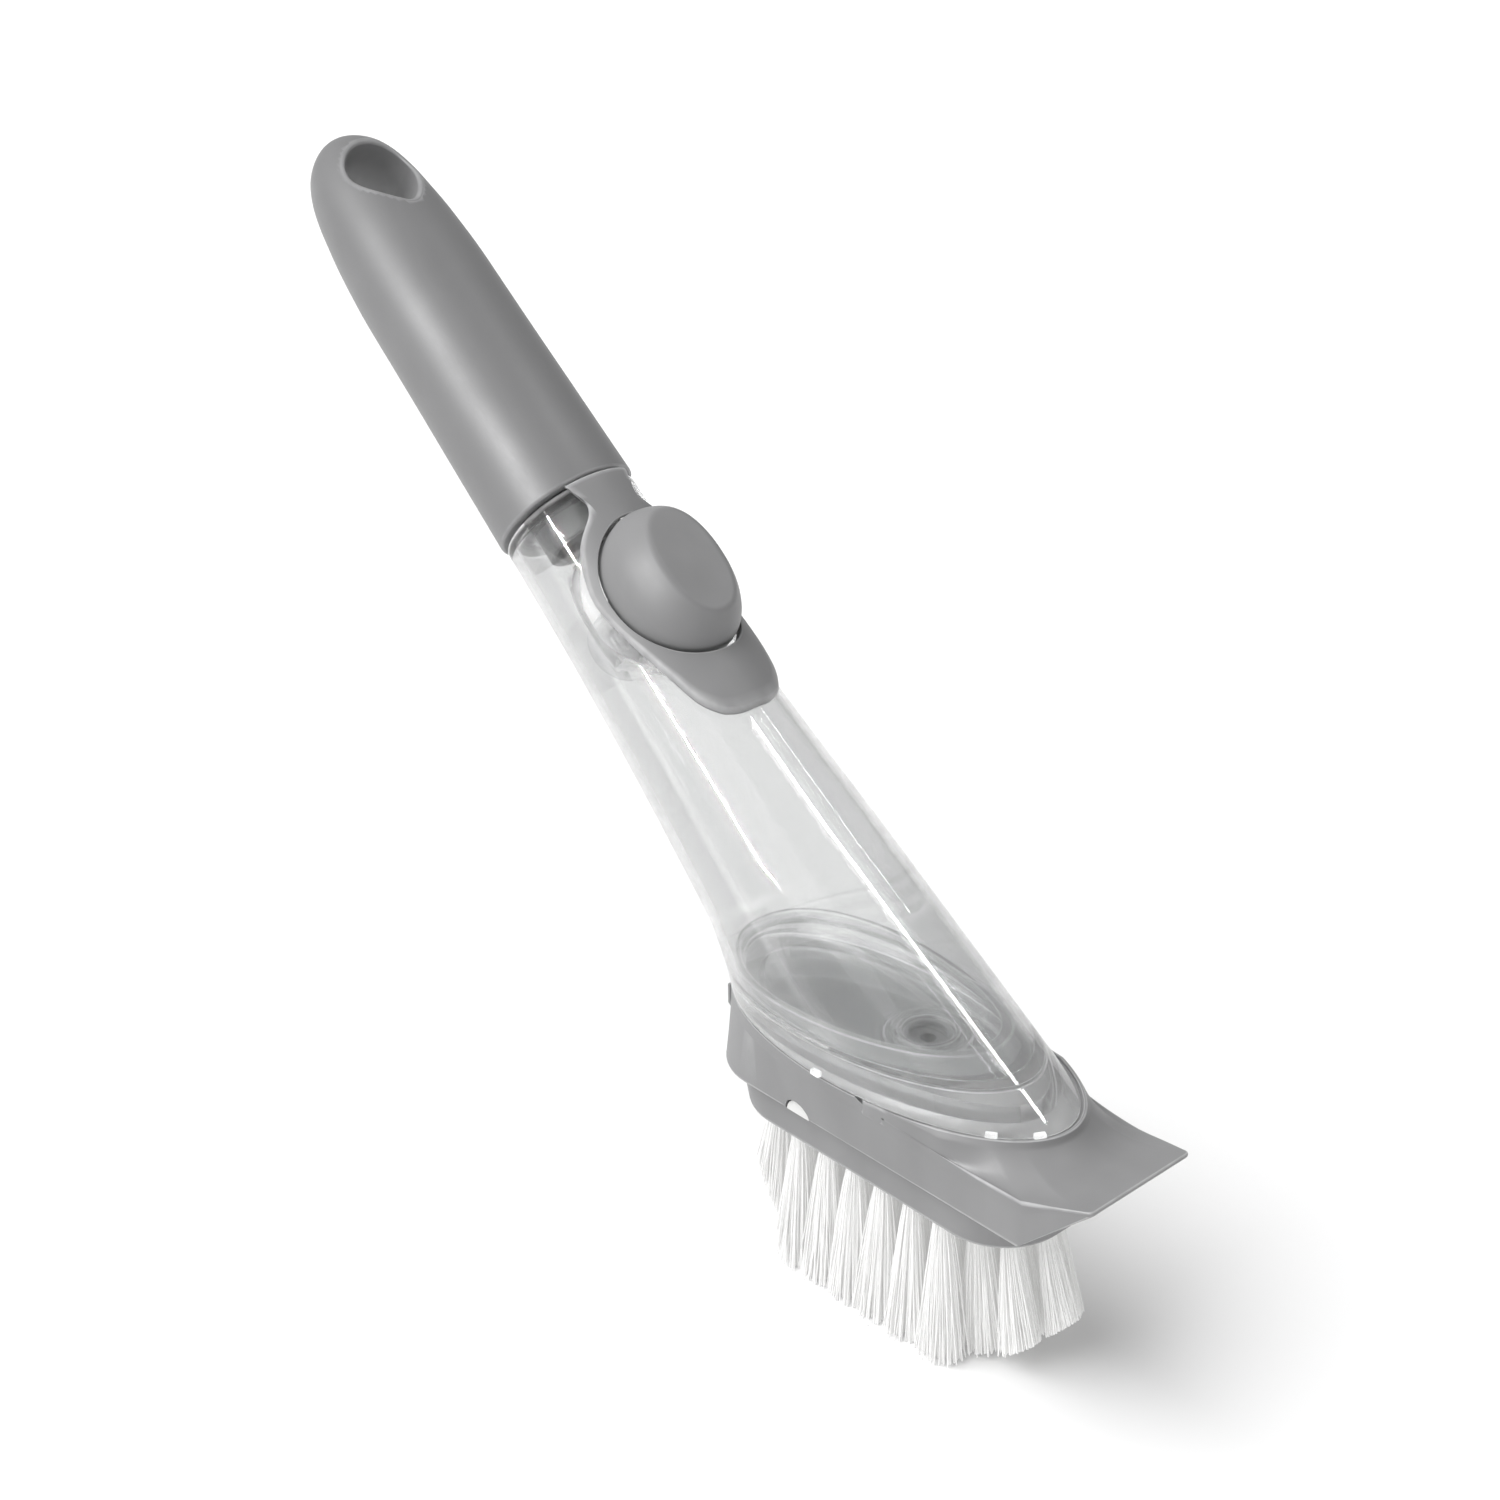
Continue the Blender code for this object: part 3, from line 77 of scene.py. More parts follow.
GOLDEN_ANGLE = math.pi * (3 - math.sqrt(5))

# Roundings of edges
FINE_EDGE = 0.0002
SMALL_EDGE = 0.0003
SOFT_EDGE = 0.0004
BROAD_EDGE = 0.0005
FULL_EDGE = 0.0006

# Painted edge highlight: the attribute, the face angles that it grows over, and the slope that counts as
# upright
EDGE_HIGHLIGHT = "painted_edge_highlight"
HIGHLIGHT_FROM = math.radians(6)
HIGHLIGHT_TO = math.radians(14)
HIGHLIGHT_UPRIGHT = 0.8
HIGHLIGHT_PATCH = 0.003
HIGHLIGHT_LEAST = 0.55

# Noise fills little more than this range. A speck is full over its core.
NOISE_LOW = 0.3
NOISE_HIGH = 0.7
SPECK_CORE = 0.5

# Sockets that Blender knows by number: the colour Mix node's and the Random Value node's
MIX_FACTOR, MIX_FIRST, MIX_SECOND, MIX_RESULT = 0, 6, 7, 2
RANDOM_LEAST, RANDOM_MOST, RANDOM_ID, RANDOM_SEED, RANDOM_FLOAT = 2, 3, 7, 8, 1

# Heights of the head
BRISTLE_LENGTH = 0.031
LIP_Z = 0.0389
DECK_Z = 0.0531
RIM_Z = DECK_Z + CLEARANCE
FOOT_HEIGHT = 0.0061
SEAM_Z = RIM_Z + FOOT_HEIGHT
SOCKET_DEPTH = 0.0045
WEB_THICKNESS = 0.0023

# Handle axis
HANDLE_TILT = math.radians(39.8)
AXIS_X = -0.0027
AXIS_RISE = 0.003
HANDLE_FOOT = Matrix.Translation((AXIS_X, 0, RIM_Z + AXIS_RISE))
HANDLE = HANDLE_FOOT @ Matrix.Rotation(HANDLE_TILT - math.pi / 2, 4, "Y")
BUTTON_STATION = 0.0908
PRESS = HANDLE @ Matrix.Translation((0, 0, BUTTON_STATION)) @ Matrix.Rotation(math.pi / 2, 4, "Y")
OUTLET_X = 0.0075
OUTLET = Matrix.Translation((OUTLET_X, 0, 0))

# Tank
RIM_HALF_LENGTH = 0.0415
RIM_HALF_WIDTH = 0.0201
TANK_WALL = 0.0018
TUBE_RADIUS = 0.0144
FLARE = 0.0044
FLARE_POWER = 1.6
FLARE_START = 0.034
FLARE_BLEND = 0.012
TUBE_END = 0.1178
TUBE_SPANS = 24
SHOULDER_ROUND = 0.0012
CEILING_ROUND = 0.001
NECK_RADIUS = 0.0102
NECK_WALL = 0.0018
NECK_BORE_RADIUS = NECK_RADIUS - NECK_WALL
NECK_TOP = 0.136
PLUG_RISE = 0.0032

# Foot of the tank
RIM_CHAMFER = 0.0003
PLUG_WALL = 0.0014
FLOOR_EDGE_DROP = 0.0004
FLOOR_EDGE = SEAM_Z - FLOOR_EDGE_DROP
FLOOR_DISH = 0.0024
FLOOR = FLOOR_EDGE - FLOOR_DISH
FLOOR_THICKNESS = 0.0016
FLOOR_EDGE_EXTRA = 0.0008
FLOOR_STEPS = 8
FLOOR_POWER = 3.0
BOSS_RADIUS = 0.0088
BOSS_TOP_RADIUS = 0.0084
BOSS_HEIGHT = 0.0014
BOSS_TOP = FLOOR + BOSS_HEIGHT
BOSS_RING_RADIUS = 0.0064
BOSS_RING_HEIGHT = 0.0005
VALVE_SEAT_RADIUS = 0.005
VALVE_SEAT_DEPTH = 0.0013
VALVE_SEAT = BOSS_TOP - VALVE_SEAT_DEPTH - FLOOR_THICKNESS + CLEARANCE
OUTLET_BORE_RADIUS = 0.0024
SPOUT_RADIUS = 0.004
SPOUT_FOOT = DECK_Z - (SOCKET_DEPTH + WEB_THICKNESS) + 2 * CLEARANCE
HOUSING_RADIUS = 0.0066
HOUSING_DROP = 0.0014
SOCKET_HALF_LENGTH = 0.036
SOCKET_HALF_WIDTH = 0.0157
SOCKET_WALL = 0.0016
SOCKET_PLUG_DEPTH = 0.0041
SOCKET_FOOT = RIM_Z - SOCKET_PLUG_DEPTH
VALVE_FLANGE = 0.001
VALVE_WALL = 0.00065
VALVE_DEPTH = 0.0042
RETAINER_THICKNESS = 0.001
RETAINER_HOLE_RADIUS = 0.0036
CLIP_PLACES = ((-0.0016, -0.0201), (-0.0016, 0.0201), (0.034, -0.0115), (0.04, -0.0053))
CLIP_SINK = 0.0006
CLIP_REACH = 0.0007
CLIP_HEIGHT = 0.0011
CLIP_HALF_WIDTH = 0.0011

# Button and its well
BUTTON_HALF_LENGTH = 0.0159
BUTTON_HALF_WIDTH = 0.0116
BUTTON_TOP_HALF_LENGTH = 0.0117
BUTTON_TOP_HALF_WIDTH = 0.007
BUTTON_HEIGHT = 0.025
BUTTON_SKIRT_FOOT = 0.0106
BUTTON_WALL = 0.0014
BUTTON_OVAL_POWER = 2.2
BUTTON_EDGE = 0.0009
BUTTON_SPAN_STEPS = 4
BUTTON_SIDE_SHARES = (
    (0.0, 0.0), (0.3, 0.0), (0.47, 0.02), (0.62, 0.17), (0.78, 0.45), (0.9, 0.72), (1.0, 1.0))
BUTTON_GAP = 0.0007
WELL_SIDE_GAP = 0.00035
WELL_END_GAP = 0.001
WELL_FLOOR = 0.0062
WELL_WALL = 0.0018
WELL_CORNER_RISE = 0.0001

# Pump under the button
CUP_BORE_RADIUS = 0.0066
CUP_WALL = 0.001
CUP_FLOOR = -0.008
CUP_FLOOR_THICKNESS = 0.0013
CUP_HOLE_RADIUS = 0.0016
CUP_FLANGE_RADIUS = 0.0096
CUP_FLANGE_THICKNESS = 0.001
GASKET_THICKNESS = 0.0007
GASKET_WIDTH = 0.0011
STEM_RADIUS = 0.0022
STEM_SHOULDER_RADIUS = 0.0034
STEM_DISC_RADIUS = 0.0042
STEM_DISC_THICKNESS = 0.0009
STEM_FOOT = 0.0034
PISTON_HEIGHT = 0.0028
PISTON_LIP = 0.0008
PISTON_TOP = STEM_FOOT + STEM_DISC_THICKNESS + CLEARANCE + PISTON_HEIGHT
SPRING_RADIUS = 0.0036
SPRING_WIRE = 0.00045
SPRING_TURNS = 5
SPRING_CLOSED_TURNS = 0.75
SPRING_CLOSED_SHARE = 1.05
SPRING_POINTS_PER_TURN = 32
SPRING_SIDES = 12

# Collar: station, half width, rise over the tank and turn round the button's opening, each as a share
COLLAR_START = 0.0612
COLLAR_END = 0.1181
COLLAR_HALF_WIDTH = 0.0139
COLLAR_THICKNESS = 0.00245
COLLAR_BAND = 0.0011
COLLAR_BAND_STEPS = 5
COLLAR_BAND_DROP = 0.6
COLLAR_LEAST_SLANT = 0.35
COLLAR_OPENING_EDGE = 0.00035
COLLAR_SHARES = (
    (0.0, 0.0, 0.59, 1.0), (0.0, 0.187, 0.59, 0.965), (0.004, 0.3, 0.63, 0.945), (0.014, 0.42, 0.67, 0.92),
    (0.037, 0.56, 0.755, 0.885), (0.102, 0.734, 0.92, 0.83), (0.204, 0.842, 1.0, 0.765),
    (0.327, 0.928, 0.9, 0.68), (0.471, 0.986, 0.735, 0.57), (0.582, 1.0, 0.6, 0.465),
    (0.677, 0.942, 0.49, 0.37),
    (0.759, 0.842, 0.43, 0.29), (0.81, 0.712, 0.38, 0.235), (0.865, 0.496, 0.34, 0.16),
    (0.907, 0.428, 0.32, 0.125), (0.953, 0.46, 0.31, 0.1), (1.0, 0.547, 0.31, 0.085), (1.0, 0.0, 0.31, 0.0))
COLLAR_SPAN_STEPS = 6
COLLAR_ACROSS_STEPS = 6

# Grip: distance up the handle and radius
GRIP_START = 0.1185
GRIP_RADIUS = 0.015
GRIP_LINE = (
    (0.1205, 0.01496), (0.13, 0.01475), (0.142, 0.0145), (0.153, 0.01425), (0.164, 0.01405), (0.175, 0.01385),
    (0.182, 0.01345), (0.188, 0.01295), (0.193, 0.0123), (0.198, 0.01155), (0.2025, 0.01045),
    (0.2065, 0.00875), (0.2095, 0.0064), (0.2117, 0.0034), (0.2126, 0.0))
GRIP_SPAN_STEPS = 4
GRIP_EDGE = 0.0007
GRIP_BORE_RADIUS = 0.0124
GRIP_BORE_END = 0.178
HOLE_MIDDLE = 0.1983
HOLE_HALF_LENGTH = 0.0076
HOLE_HALF_WIDTH = 0.0072
HOLE_STRETCH = 1.3
HOLE_POINT = 0.35
HOLE_EDGE = 0.0013
HOLE_LIFT = 0.007
HOLE_ANGLES = (90, 76, 62, 48, 34, 20)
HOLE_TANGENT = 0.0015
THREAD_HEIGHT = 0.0006
THREAD_PITCH = 0.004
THREAD_TURNS = 3
THREAD_START = 0.1222
THREAD_SIDES = 12
THREAD_POINTS_PER_TURN = 48
INSERT_WALL = 0.001
INSERT_CAP = 0.0025
STOPPER_FLANGE = 0.0014
STOPPER_TOP = NECK_TOP + CLEARANCE + STOPPER_FLANGE
STOPPER_WALL = 0.0012
STOPPER_DEPTH = 0.0255
STOPPER_RIB = 0.00022
STOPPER_RIB_PITCH = 0.0024
STOPPER_RIBS = 3

# Head shell
LIP_REAR = 0.0384
LIP_HALF_WIDTH = 0.017
LIP_FRONT = 0.0456
LIP_CORNER_RADIUS = 0.0135
CREASE_START_X = 0.008
CREASE_END_X = 0.0457
CREASE_END_HALF_WIDTH = 0.01605
CREASE_DROP = 0.0051
CREASE_POWER = 1.4
BLADE_X = 0.059
BLADE_HALF_WIDTH = 0.0131
BLADE_RISE = 0.0034
BLADE_EDGE = 0.0009
BLADE_THINNING = 2
BLADE_CORNER = 0.0009
EDGE_ROUND = 0.0007
LIP_ROUND = 0.0007
REAR_STEPS = 48
CREASE_STEPS = 20
BLADE_SIDE_STEPS = 8
BLADE_STEPS = 12
DISH_STEPS = 10
DISH_POWER = 3.0
DISH_TURN = 0.002
EDGE_POWER = 1.6
EDGE_RUN = 0.0018
EDGE_RUN_MOST = 0.5
RIM_DEPTH = 0.0022
BEAD_GAP = 0.0005
BEAD_WIDTH = 0.0006
BEAD_SLOPE = 0.0007
BEAD_HEIGHT = 0.0007
BEAD_FOOT_DROP = 0.0005
BEAD_RUN_IN = 0.0024
BEAD_ROUNDINGS = (0.0004, 0.00025, 0.0002, 0.00015)
TAB_HALF_WIDTH = 0.006
TAB_THICKNESS = 0.0008
TAB_OVERHANG = 0.0032
TAB_ROOT_DEPTH = 0.001
TAB_DROP = 0.004
TAB_HEIGHT = 0.0044
TAB_ROOT_DROP = 0.0032
TAB_ROOT_HEIGHT = 0.0024
TAB_ROUND = 0.00025
SEAL_WIDTH = 0.0017
SEAL_HEIGHT = 0.0015

# Bristle block, set in from the lip at the front, at the rear and at each side
BLOCK_INSETS = (0.0016, 0.0027, 0.002)
BLOCK_FRONT = LIP_FRONT - BLOCK_INSETS[0]
BLOCK_REAR = LIP_REAR - BLOCK_INSETS[1]
BLOCK_X = (BLOCK_FRONT - BLOCK_REAR) / 2
BLOCK_HALF_LENGTH = (BLOCK_FRONT + BLOCK_REAR) / 2
BLOCK_HALF_WIDTH = LIP_HALF_WIDTH - BLOCK_INSETS[2]
BLOCK_END_DRAFT = 0.0022
BLOCK_CORNER_RADIUS = 0.0132
BLOCK_HEIGHT = 0.015
BLOCK_TOP = BRISTLE_LENGTH + BLOCK_HEIGHT
BLOCK_EDGE_ROUND = 0.0009
LOCK_X = -0.0099
LOCK_RADIUS = 0.003
LOCK_STEPS = 24

# Bristles, in rows along the head that are counted from the near side
ROW_PITCH = 0.0056
MIDDLE_ROW = 2
ROW_HALF_WIDTH = 0.0021
ROW_THICKNESS = 0.002
ROW_MARGINS = (0.01205, 0.00355, 0.00155, 0.00355, 0.01205)
TUFT_PITCH = 0.0075
TUFT_RADIUS = 0.00125
TUFT_SPREAD = (3.2, 1.6)
STRAND_SIDES = 5
STRAND_STEPS = 4
STRAND_SEED = 7
STRAND_UNEVENNESS = 0.08
SPLAY_LENGTHS = (0.0145, 0.0105)
SPLAY_WIDTH = 0.0015
SPLAY_POWER = 3.0
SPLAY_REACH = BLOCK_X + BLOCK_HALF_LENGTH - BLOCK_END_DRAFT - ROW_MARGINS[MIDDLE_ROW]
CROWN_FRONT_START = 0.024
CROWN_FRONT_RUN = 0.028
CROWN_FRONT_RISE = 0.021
CROWN_REAR_START = 0.013
CROWN_REAR_EXTRA = 0.012
CROWN_REAR_RUN = 0.01
CROWN_REAR_RISE = 0.011
DUCT_RADIUS = 0.0024
ROW_DUCT_RADIUS = 0.0013

# Camera, from the photograph
CAMERA_PLACE = (0.29247, -0.30461, 0.3276)
CAMERA_RIGHT = (0.6776007, 0.7353841, -0.0082149)
CAMERA_UP = (-0.3272797, 0.3115290, 0.8920974)
CAMERA_BACK = (0.6585934, -0.6017972, 0.4517685)
CAMERA_LENS = 63.81
SENSOR_WIDTH = 36

# Floor and light. A way points from the brush to a lamp. A panel has a name, a way, a size and a power.
FLOOR_PROFILE = ((0, 0, 0), (1.5, 0, 0), (6, 0, 0), (6, -0.02, 0), (0, -0.02, 0))
LIGHT_AIM = (-0.03, 0, 0.1)
LIGHT_DISTANCE = 1.0
SUN_WAY = (-0.35, -0.5, 0.79)
SUN_ANGLE = math.radians(75)
PANEL_LAMPS = (
    ("streak", (-0.055, -0.87, 0.49), (0.006, 0.2), 10.0),
    ("window", (0.385, 0.38, 0.84), (0.08, 0.22), 2.1),
    ("side", (0.19, 0.7, 0.69), (0.008, 0.1), 0.12),
    ("rim", (-0.66, 0.6, 0.45), (0.014, 0.014), 0.04))


def oval_point(angle, half_length, half_width, power):
    """A point of a superellipse as (x, y)."""
    along, across = math.cos(angle), math.sin(angle)
    return (math.copysign(abs(along) ** (2 / power), along) * half_length,
            math.copysign(abs(across) ** (2 / power), across) * half_width)


def oval(half_length, half_width, height, power=2.0, sides=ROUND):
    """Points of a superellipse in X and Y at one height."""
    angles = (2 * math.pi * step / sides for step in range(sides))
    return [Vector((*oval_point(angle, half_length, half_width, power), height)) for angle in angles]


def circle(radius, height, sides=ROUND, centre_x=0.0):
    """Points of a circle in X and Y at one height."""
    angles = (2 * math.pi * step / sides for step in range(sides))
    return [Vector((centre_x + radius * math.cos(angle), radius * math.sin(angle), height))
            for angle in angles]


def smooth_line(points, steps):
    """A smooth line through points, with as many steps in each span."""
    points = [Vector(point) for point in points]
    ends = [2 * points[0] - points[1]] + points + [2 * points[-1] - points[-2]]
    line = []
    for place in range(len(points) - 1):
        before, start, end, after = ends[place:place + 4]
        for step in range(steps):
            share = step / steps
            line.append(start + 0.5 * share * (
                (end - before) + share * ((2 * before - 5 * start + 4 * end - after)
                                          + share * (3 * start - before - 3 * end + after))))
    return line + [points[-1]]


def rounded(points, roundings, closed):
    """Round a line's corners. Each corner takes the same count of points on every line."""
    line = []
    last = len(points) - 1
    for place, (point, rounding) in enumerate(zip(points, roundings)):
        if rounding == 0 or (not closed and place in (0, last)):
            line.append(point)
            continue
        back = points[place - 1] - point
        ahead = points[(place + 1) % len(points)] - point
        cut = min(rounding, CUT_SHARE * back.length, CUT_SHARE * ahead.length)
        back.normalize()
        ahead.normalize()
        line.append(point + back * cut * (1 + HOLD_SHARE * CUT_SHARE))
        for step in range(CORNER_STEPS + 1):
            share = step / CORNER_STEPS
            line.append(point + back * cut * (1 - share) ** 2 + ahead * cut * share ** 2)
        line.append(point + ahead * cut * (1 + HOLD_SHARE * CUT_SHARE))
    return line


def new_object(name, mesh, finish):
    """Link a mesh as a piece with one finish."""
    piece = bpy.data.objects.new(name, mesh)
    mesh.materials.clear()
    mesh.materials.append(finish)
    bpy.context.scene.collection.objects.link(piece)
    return piece


def mesh_of(bm, name, place=None):
    """Weld a bmesh, turn its faces outwards and return it as a smooth mesh."""
    bmesh.ops.remove_doubles(bm, verts=bm.verts, dist=WELD_DISTANCE)
    bmesh.ops.dissolve_degenerate(bm, edges=bm.edges, dist=WELD_DISTANCE)
    bmesh.ops.recalc_face_normals(bm, faces=bm.faces)
    mesh = bpy.data.meshes.new(name)
    bm.to_mesh(mesh)
    bm.free()
    if place is not None:
        mesh.transform(place)
    mesh.shade_smooth()
    mesh.set_sharp_from_angle(angle=SHARP_ANGLE)
    return mesh


def skin(name, wall, finish, place=None, looped=False):
    """Skin a wall's rings into a closed piece, with the corners rounded as the wall says."""
    roundings = [rounding for ring, rounding in wall]
    columns = [rounded([Vector(point) for point in column], roundings, looped)
               for column in zip(*(ring for ring, rounding in wall))]
    bm = bmesh.new()
    rows = [[bm.verts.new(point) for point in row] for row in zip(*columns)]
    pairs = list(zip(rows, rows[1:]))
    if looped:
        pairs.append((rows[-1], rows[0]))
    count = len(columns)
    for low, high in pairs:
        for here in range(count):
            after = (here + 1) % count
            bm.faces.new((low[here], low[after], high[after], high[here]))
    if not looped:
        bm.faces.new(rows[0])
        bm.faces.new(rows[-1])
    return new_object(name, mesh_of(bm, name, place), finish)


def turned(name, profile, finish, place, looped=False, sides=SMALL_ROUND):
    """Turn a profile of (radius, height, rounding) about Z."""
    wall = [(circle(radius, height, sides), rounding) for radius, height, rounding in profile]
    return skin(name, wall, finish, place, looped)


def prism(name, outline, low, high, finish, rounding=0.0):
    """A flat outline of (x, z) points pushed along Y from low to high, with its edges rounded."""
    wall = [([Vector((x, y, z)) for x, z in outline], 0.0) for y in (low, high)]
    piece = skin(name, wall, finish)
    if rounding:
        bevel = piece.modifiers.new("edges", "BEVEL")
        bevel.width = rounding
        bevel.segments = BEVEL_STEPS
        bevel.limit_method = "ANGLE"
        bevel.angle_limit = SHARP_ANGLE
        settle(piece)
    return piece


def box(name, low, high, finish):
    """A plain block between two corners, to cut with."""
    outline = [(low[0], low[2]), (high[0], low[2]), (high[0], high[2]), (low[0], high[2])]
    return prism(name, outline, low[1], high[1], finish)


def settle(piece):
    """Make a piece's modifiers part of its mesh."""
    graph = bpy.context.evaluated_depsgraph_get()
    final = bpy.data.meshes.new_from_object(piece.evaluated_get(graph))
    piece.modifiers.clear()
    piece.data = final
    final.shade_smooth()
    final.set_sharp_from_angle(angle=SHARP_ANGLE)


def combine(piece, other, operation):
    """Cut or join a piece with another shape, which is then deleted."""
    step = piece.modifiers.new("combine", "BOOLEAN")
    step.operation = operation
    step.solver = "EXACT"
    step.object = other
    settle(piece)
    bpy.data.objects.remove(other, do_unlink=True)


def mark_edges(piece):
    """Write how sharply each point stands out, upright edges apart, as the mask of a painted edge highlight.
    """
    bm = bmesh.new()
    bm.from_mesh(piece.data)
    marks = bm.verts.layers.float.new(EDGE_HIGHLIGHT)

    def upright(edge):
        start, end = edge.verts
        return abs((end.co - start.co).normalized().z) >= HIGHLIGHT_UPRIGHT

    for point in bm.verts:
        turns = [edge.calc_face_angle_signed(0.0) for edge in point.link_edges if not upright(edge)]
        turn = max(turns, default=0.0)
        point[marks] = min(1.0, max(0.0, (turn - HIGHLIGHT_FROM) / (HIGHLIGHT_TO - HIGHLIGHT_FROM)))
    bm.to_mesh(piece.data)
    bm.free()
    return piece


def dress(piece, body, slot, *nodes):
    """Hand a finished piece to its body and hide the nodes that it stands for; its slot is not used."""
    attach(piece, body)
    if nodes:
        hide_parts(*nodes)


class Wire:
    """An output of a shader node that takes part in sums and products: each adds its Math node."""

    def __init__(self, finish, output):
        self.finish = finish
        self.output = output

    def math(self, operation, first, second):
        return self.finish.node("ShaderNodeMath", {"operation": operation}, {0: first, 1: second})

    def __add__(self, other):
        return self.math("ADD", self, other)

    def __mul__(self, other):
        return self.math("MULTIPLY", self, other)

    __radd__ = __add__
    __rmul__ = __mul__


class Finish:
    """A Principled material under construction."""

    def __init__(self, name, **constants):
        self.material = bpy.data.materials.new(name)
        self.material.use_nodes = True
        self.tree = self.material.node_tree
        self.shader = self.tree.nodes["Principled BSDF"]
        for key, value in constants.items():
            self.shader.inputs[key.replace("_", " ").title().replace("Ior", "IOR")].default_value = value
        self.place = self.node("ShaderNodeTexCoord", {}, {}, "Object")

    def node(self, kind, settings, inputs, output=0):
        """Add any node: its settings first, then the values or links of its sockets."""
        made = self.tree.nodes.new(kind)
        for key, value in settings.items():
            setattr(made, key, value)
        for key, value in inputs.items():
            self.feed(made.inputs[key], value)
        return Wire(self, made.outputs[output])

    def feed(self, socket, value):
        """Link or set one socket."""
        if isinstance(value, Wire):
            self.tree.links.new(value.output, socket)
        else:
            socket.default_value = value

    def noise(self, size, detail=2.0, stretch=(1.0, 1.0, 1.0)):
        """Noise about 0.5, with lumps of a size in metres."""
        scaled = self.node("ShaderNodeMapping", {}, {"Vector": self.place, "Scale": stretch})
        return self.node("ShaderNodeTexNoise", {}, {"Vector": scaled, "Scale": 1 / size, "Detail": detail})

    def specks(self, pitch, radius):
        """One on sparse round specks, a pitch apart, and zero between them."""
        near = self.node("ShaderNodeTexVoronoi", {}, {"Vector": self.place, "Scale": 1 / pitch}, "Distance")
        edge = radius / pitch
        return self.node("ShaderNodeMapRange", {},
                         {"Value": near, "From Min": edge, "From Max": edge * SPECK_CORE})

    def range(self, value, low, high):
        """Stretch noise over a range."""
        return self.node("ShaderNodeMapRange", {},
                         {"Value": value, "From Min": NOISE_LOW, "From Max": NOISE_HIGH,
                          "To Min": low, "To Max": high})

    def blend(self, colour, other, mask):
        """A colour, with another colour where the mask is one."""
        first, second = (given if isinstance(given, Wire) else (*given, 1.0) for given in (colour, other))
        return self.node("ShaderNodeMix", {"data_type": "RGBA"},
                         {MIX_FACTOR: mask, MIX_FIRST: first, MIX_SECOND: second}, MIX_RESULT)

    def tint(self, colour, other, mask):
        """Colour the surface, with another colour where the mask is one."""
        self.feed(self.shader.inputs["Base Color"], self.blend(colour, other, mask))

    def edge_highlight(self):
        """One on a piece's marked edges, broken into patches: the mask of the painted edge highlight."""
        marked = self.node("ShaderNodeAttribute", {"attribute_name": EDGE_HIGHLIGHT}, {}, "Fac")
        return marked * self.range(self.noise(HIGHLIGHT_PATCH), HIGHLIGHT_LEAST, 1.0)

    def roughen(self, value):
        """Set how rough the surface is."""
        self.feed(self.shader.inputs["Roughness"], value)

    def relief(self, height):
        """Raise the surface by a height in metres."""
        bump = self.node("ShaderNodeBump", {}, {"Height": height, "Distance": 1.0, "Strength": 1.0})
        self.feed(self.shader.inputs["Normal"], bump)


def shade(colour, factor):
    """A colour made lighter or darker by a factor."""
    return tuple(min(1.0, channel * factor) for channel in colour)


def soft_grip_finish(settings):
    """Soft-touch coating: matt, finely grained, with a few dust specks and a painted highlight along marked
    edges.
    """
    finish = Finish("soft_touch_grey", specular_ior_level=1.0, sheen_weight=0.08, sheen_roughness=0.45)
    cloud = finish.noise(size=0.018, detail=3.0)
    grain = finish.noise(size=0.00028, detail=1.0)
    lump = finish.noise(size=0.0011, detail=2.0)
    dust_share = 0.65
    dust_shade = 0.72
    highlight_shade = 1.7
    grain_height = 0.0000065
    lump_height = 0.000006
    mask = finish.range(cloud, low=0.0, high=0.35) + finish.specks(pitch=0.0065, radius=0.00016) * dust_share
    coat = finish.blend(settings.grip_colour, shade(settings.grip_colour, dust_shade), mask)
    # Marked edges are lightened: a painted highlight.
    finish.tint(coat, shade(settings.grip_colour, highlight_shade), finish.edge_highlight())
    finish.roughen(finish.range(cloud * 0.5 + grain * 0.5, low=0.46, high=0.58))
    finish.relief(grain * grain_height + lump * lump_height)
    return finish.material


def satin_finish(name, colour, roughness):
    """Moulded plastic with a spark-eroded texture, faint flow marks and a painted highlight along marked
    edges.
    """
    finish = Finish(name, specular_ior_level=0.5)
    cloud = finish.noise(size=0.012, detail=2.0, stretch=(1.0, 1.0, 0.35))
    grain = finish.noise(size=0.0002, detail=1.0)
    lump = finish.noise(size=0.0045, detail=2.0)
    flow_shade = 0.9
    highlight_shade = 1.75
    grain_height = 0.0000028
    lump_height = 0.00001
    moulded = finish.blend(colour, shade(colour, flow_shade), finish.range(cloud, low=0.0, high=1.0))
    # Marked edges are lightened: a painted highlight.
    finish.tint(moulded, shade(colour, highlight_shade), finish.edge_highlight())
    finish.roughen(finish.range(cloud * 0.4 + grain * 0.6, low=roughness - 0.06, high=roughness + 0.08))
    finish.relief(grain * grain_height + lump * lump_height)
    return finish.material


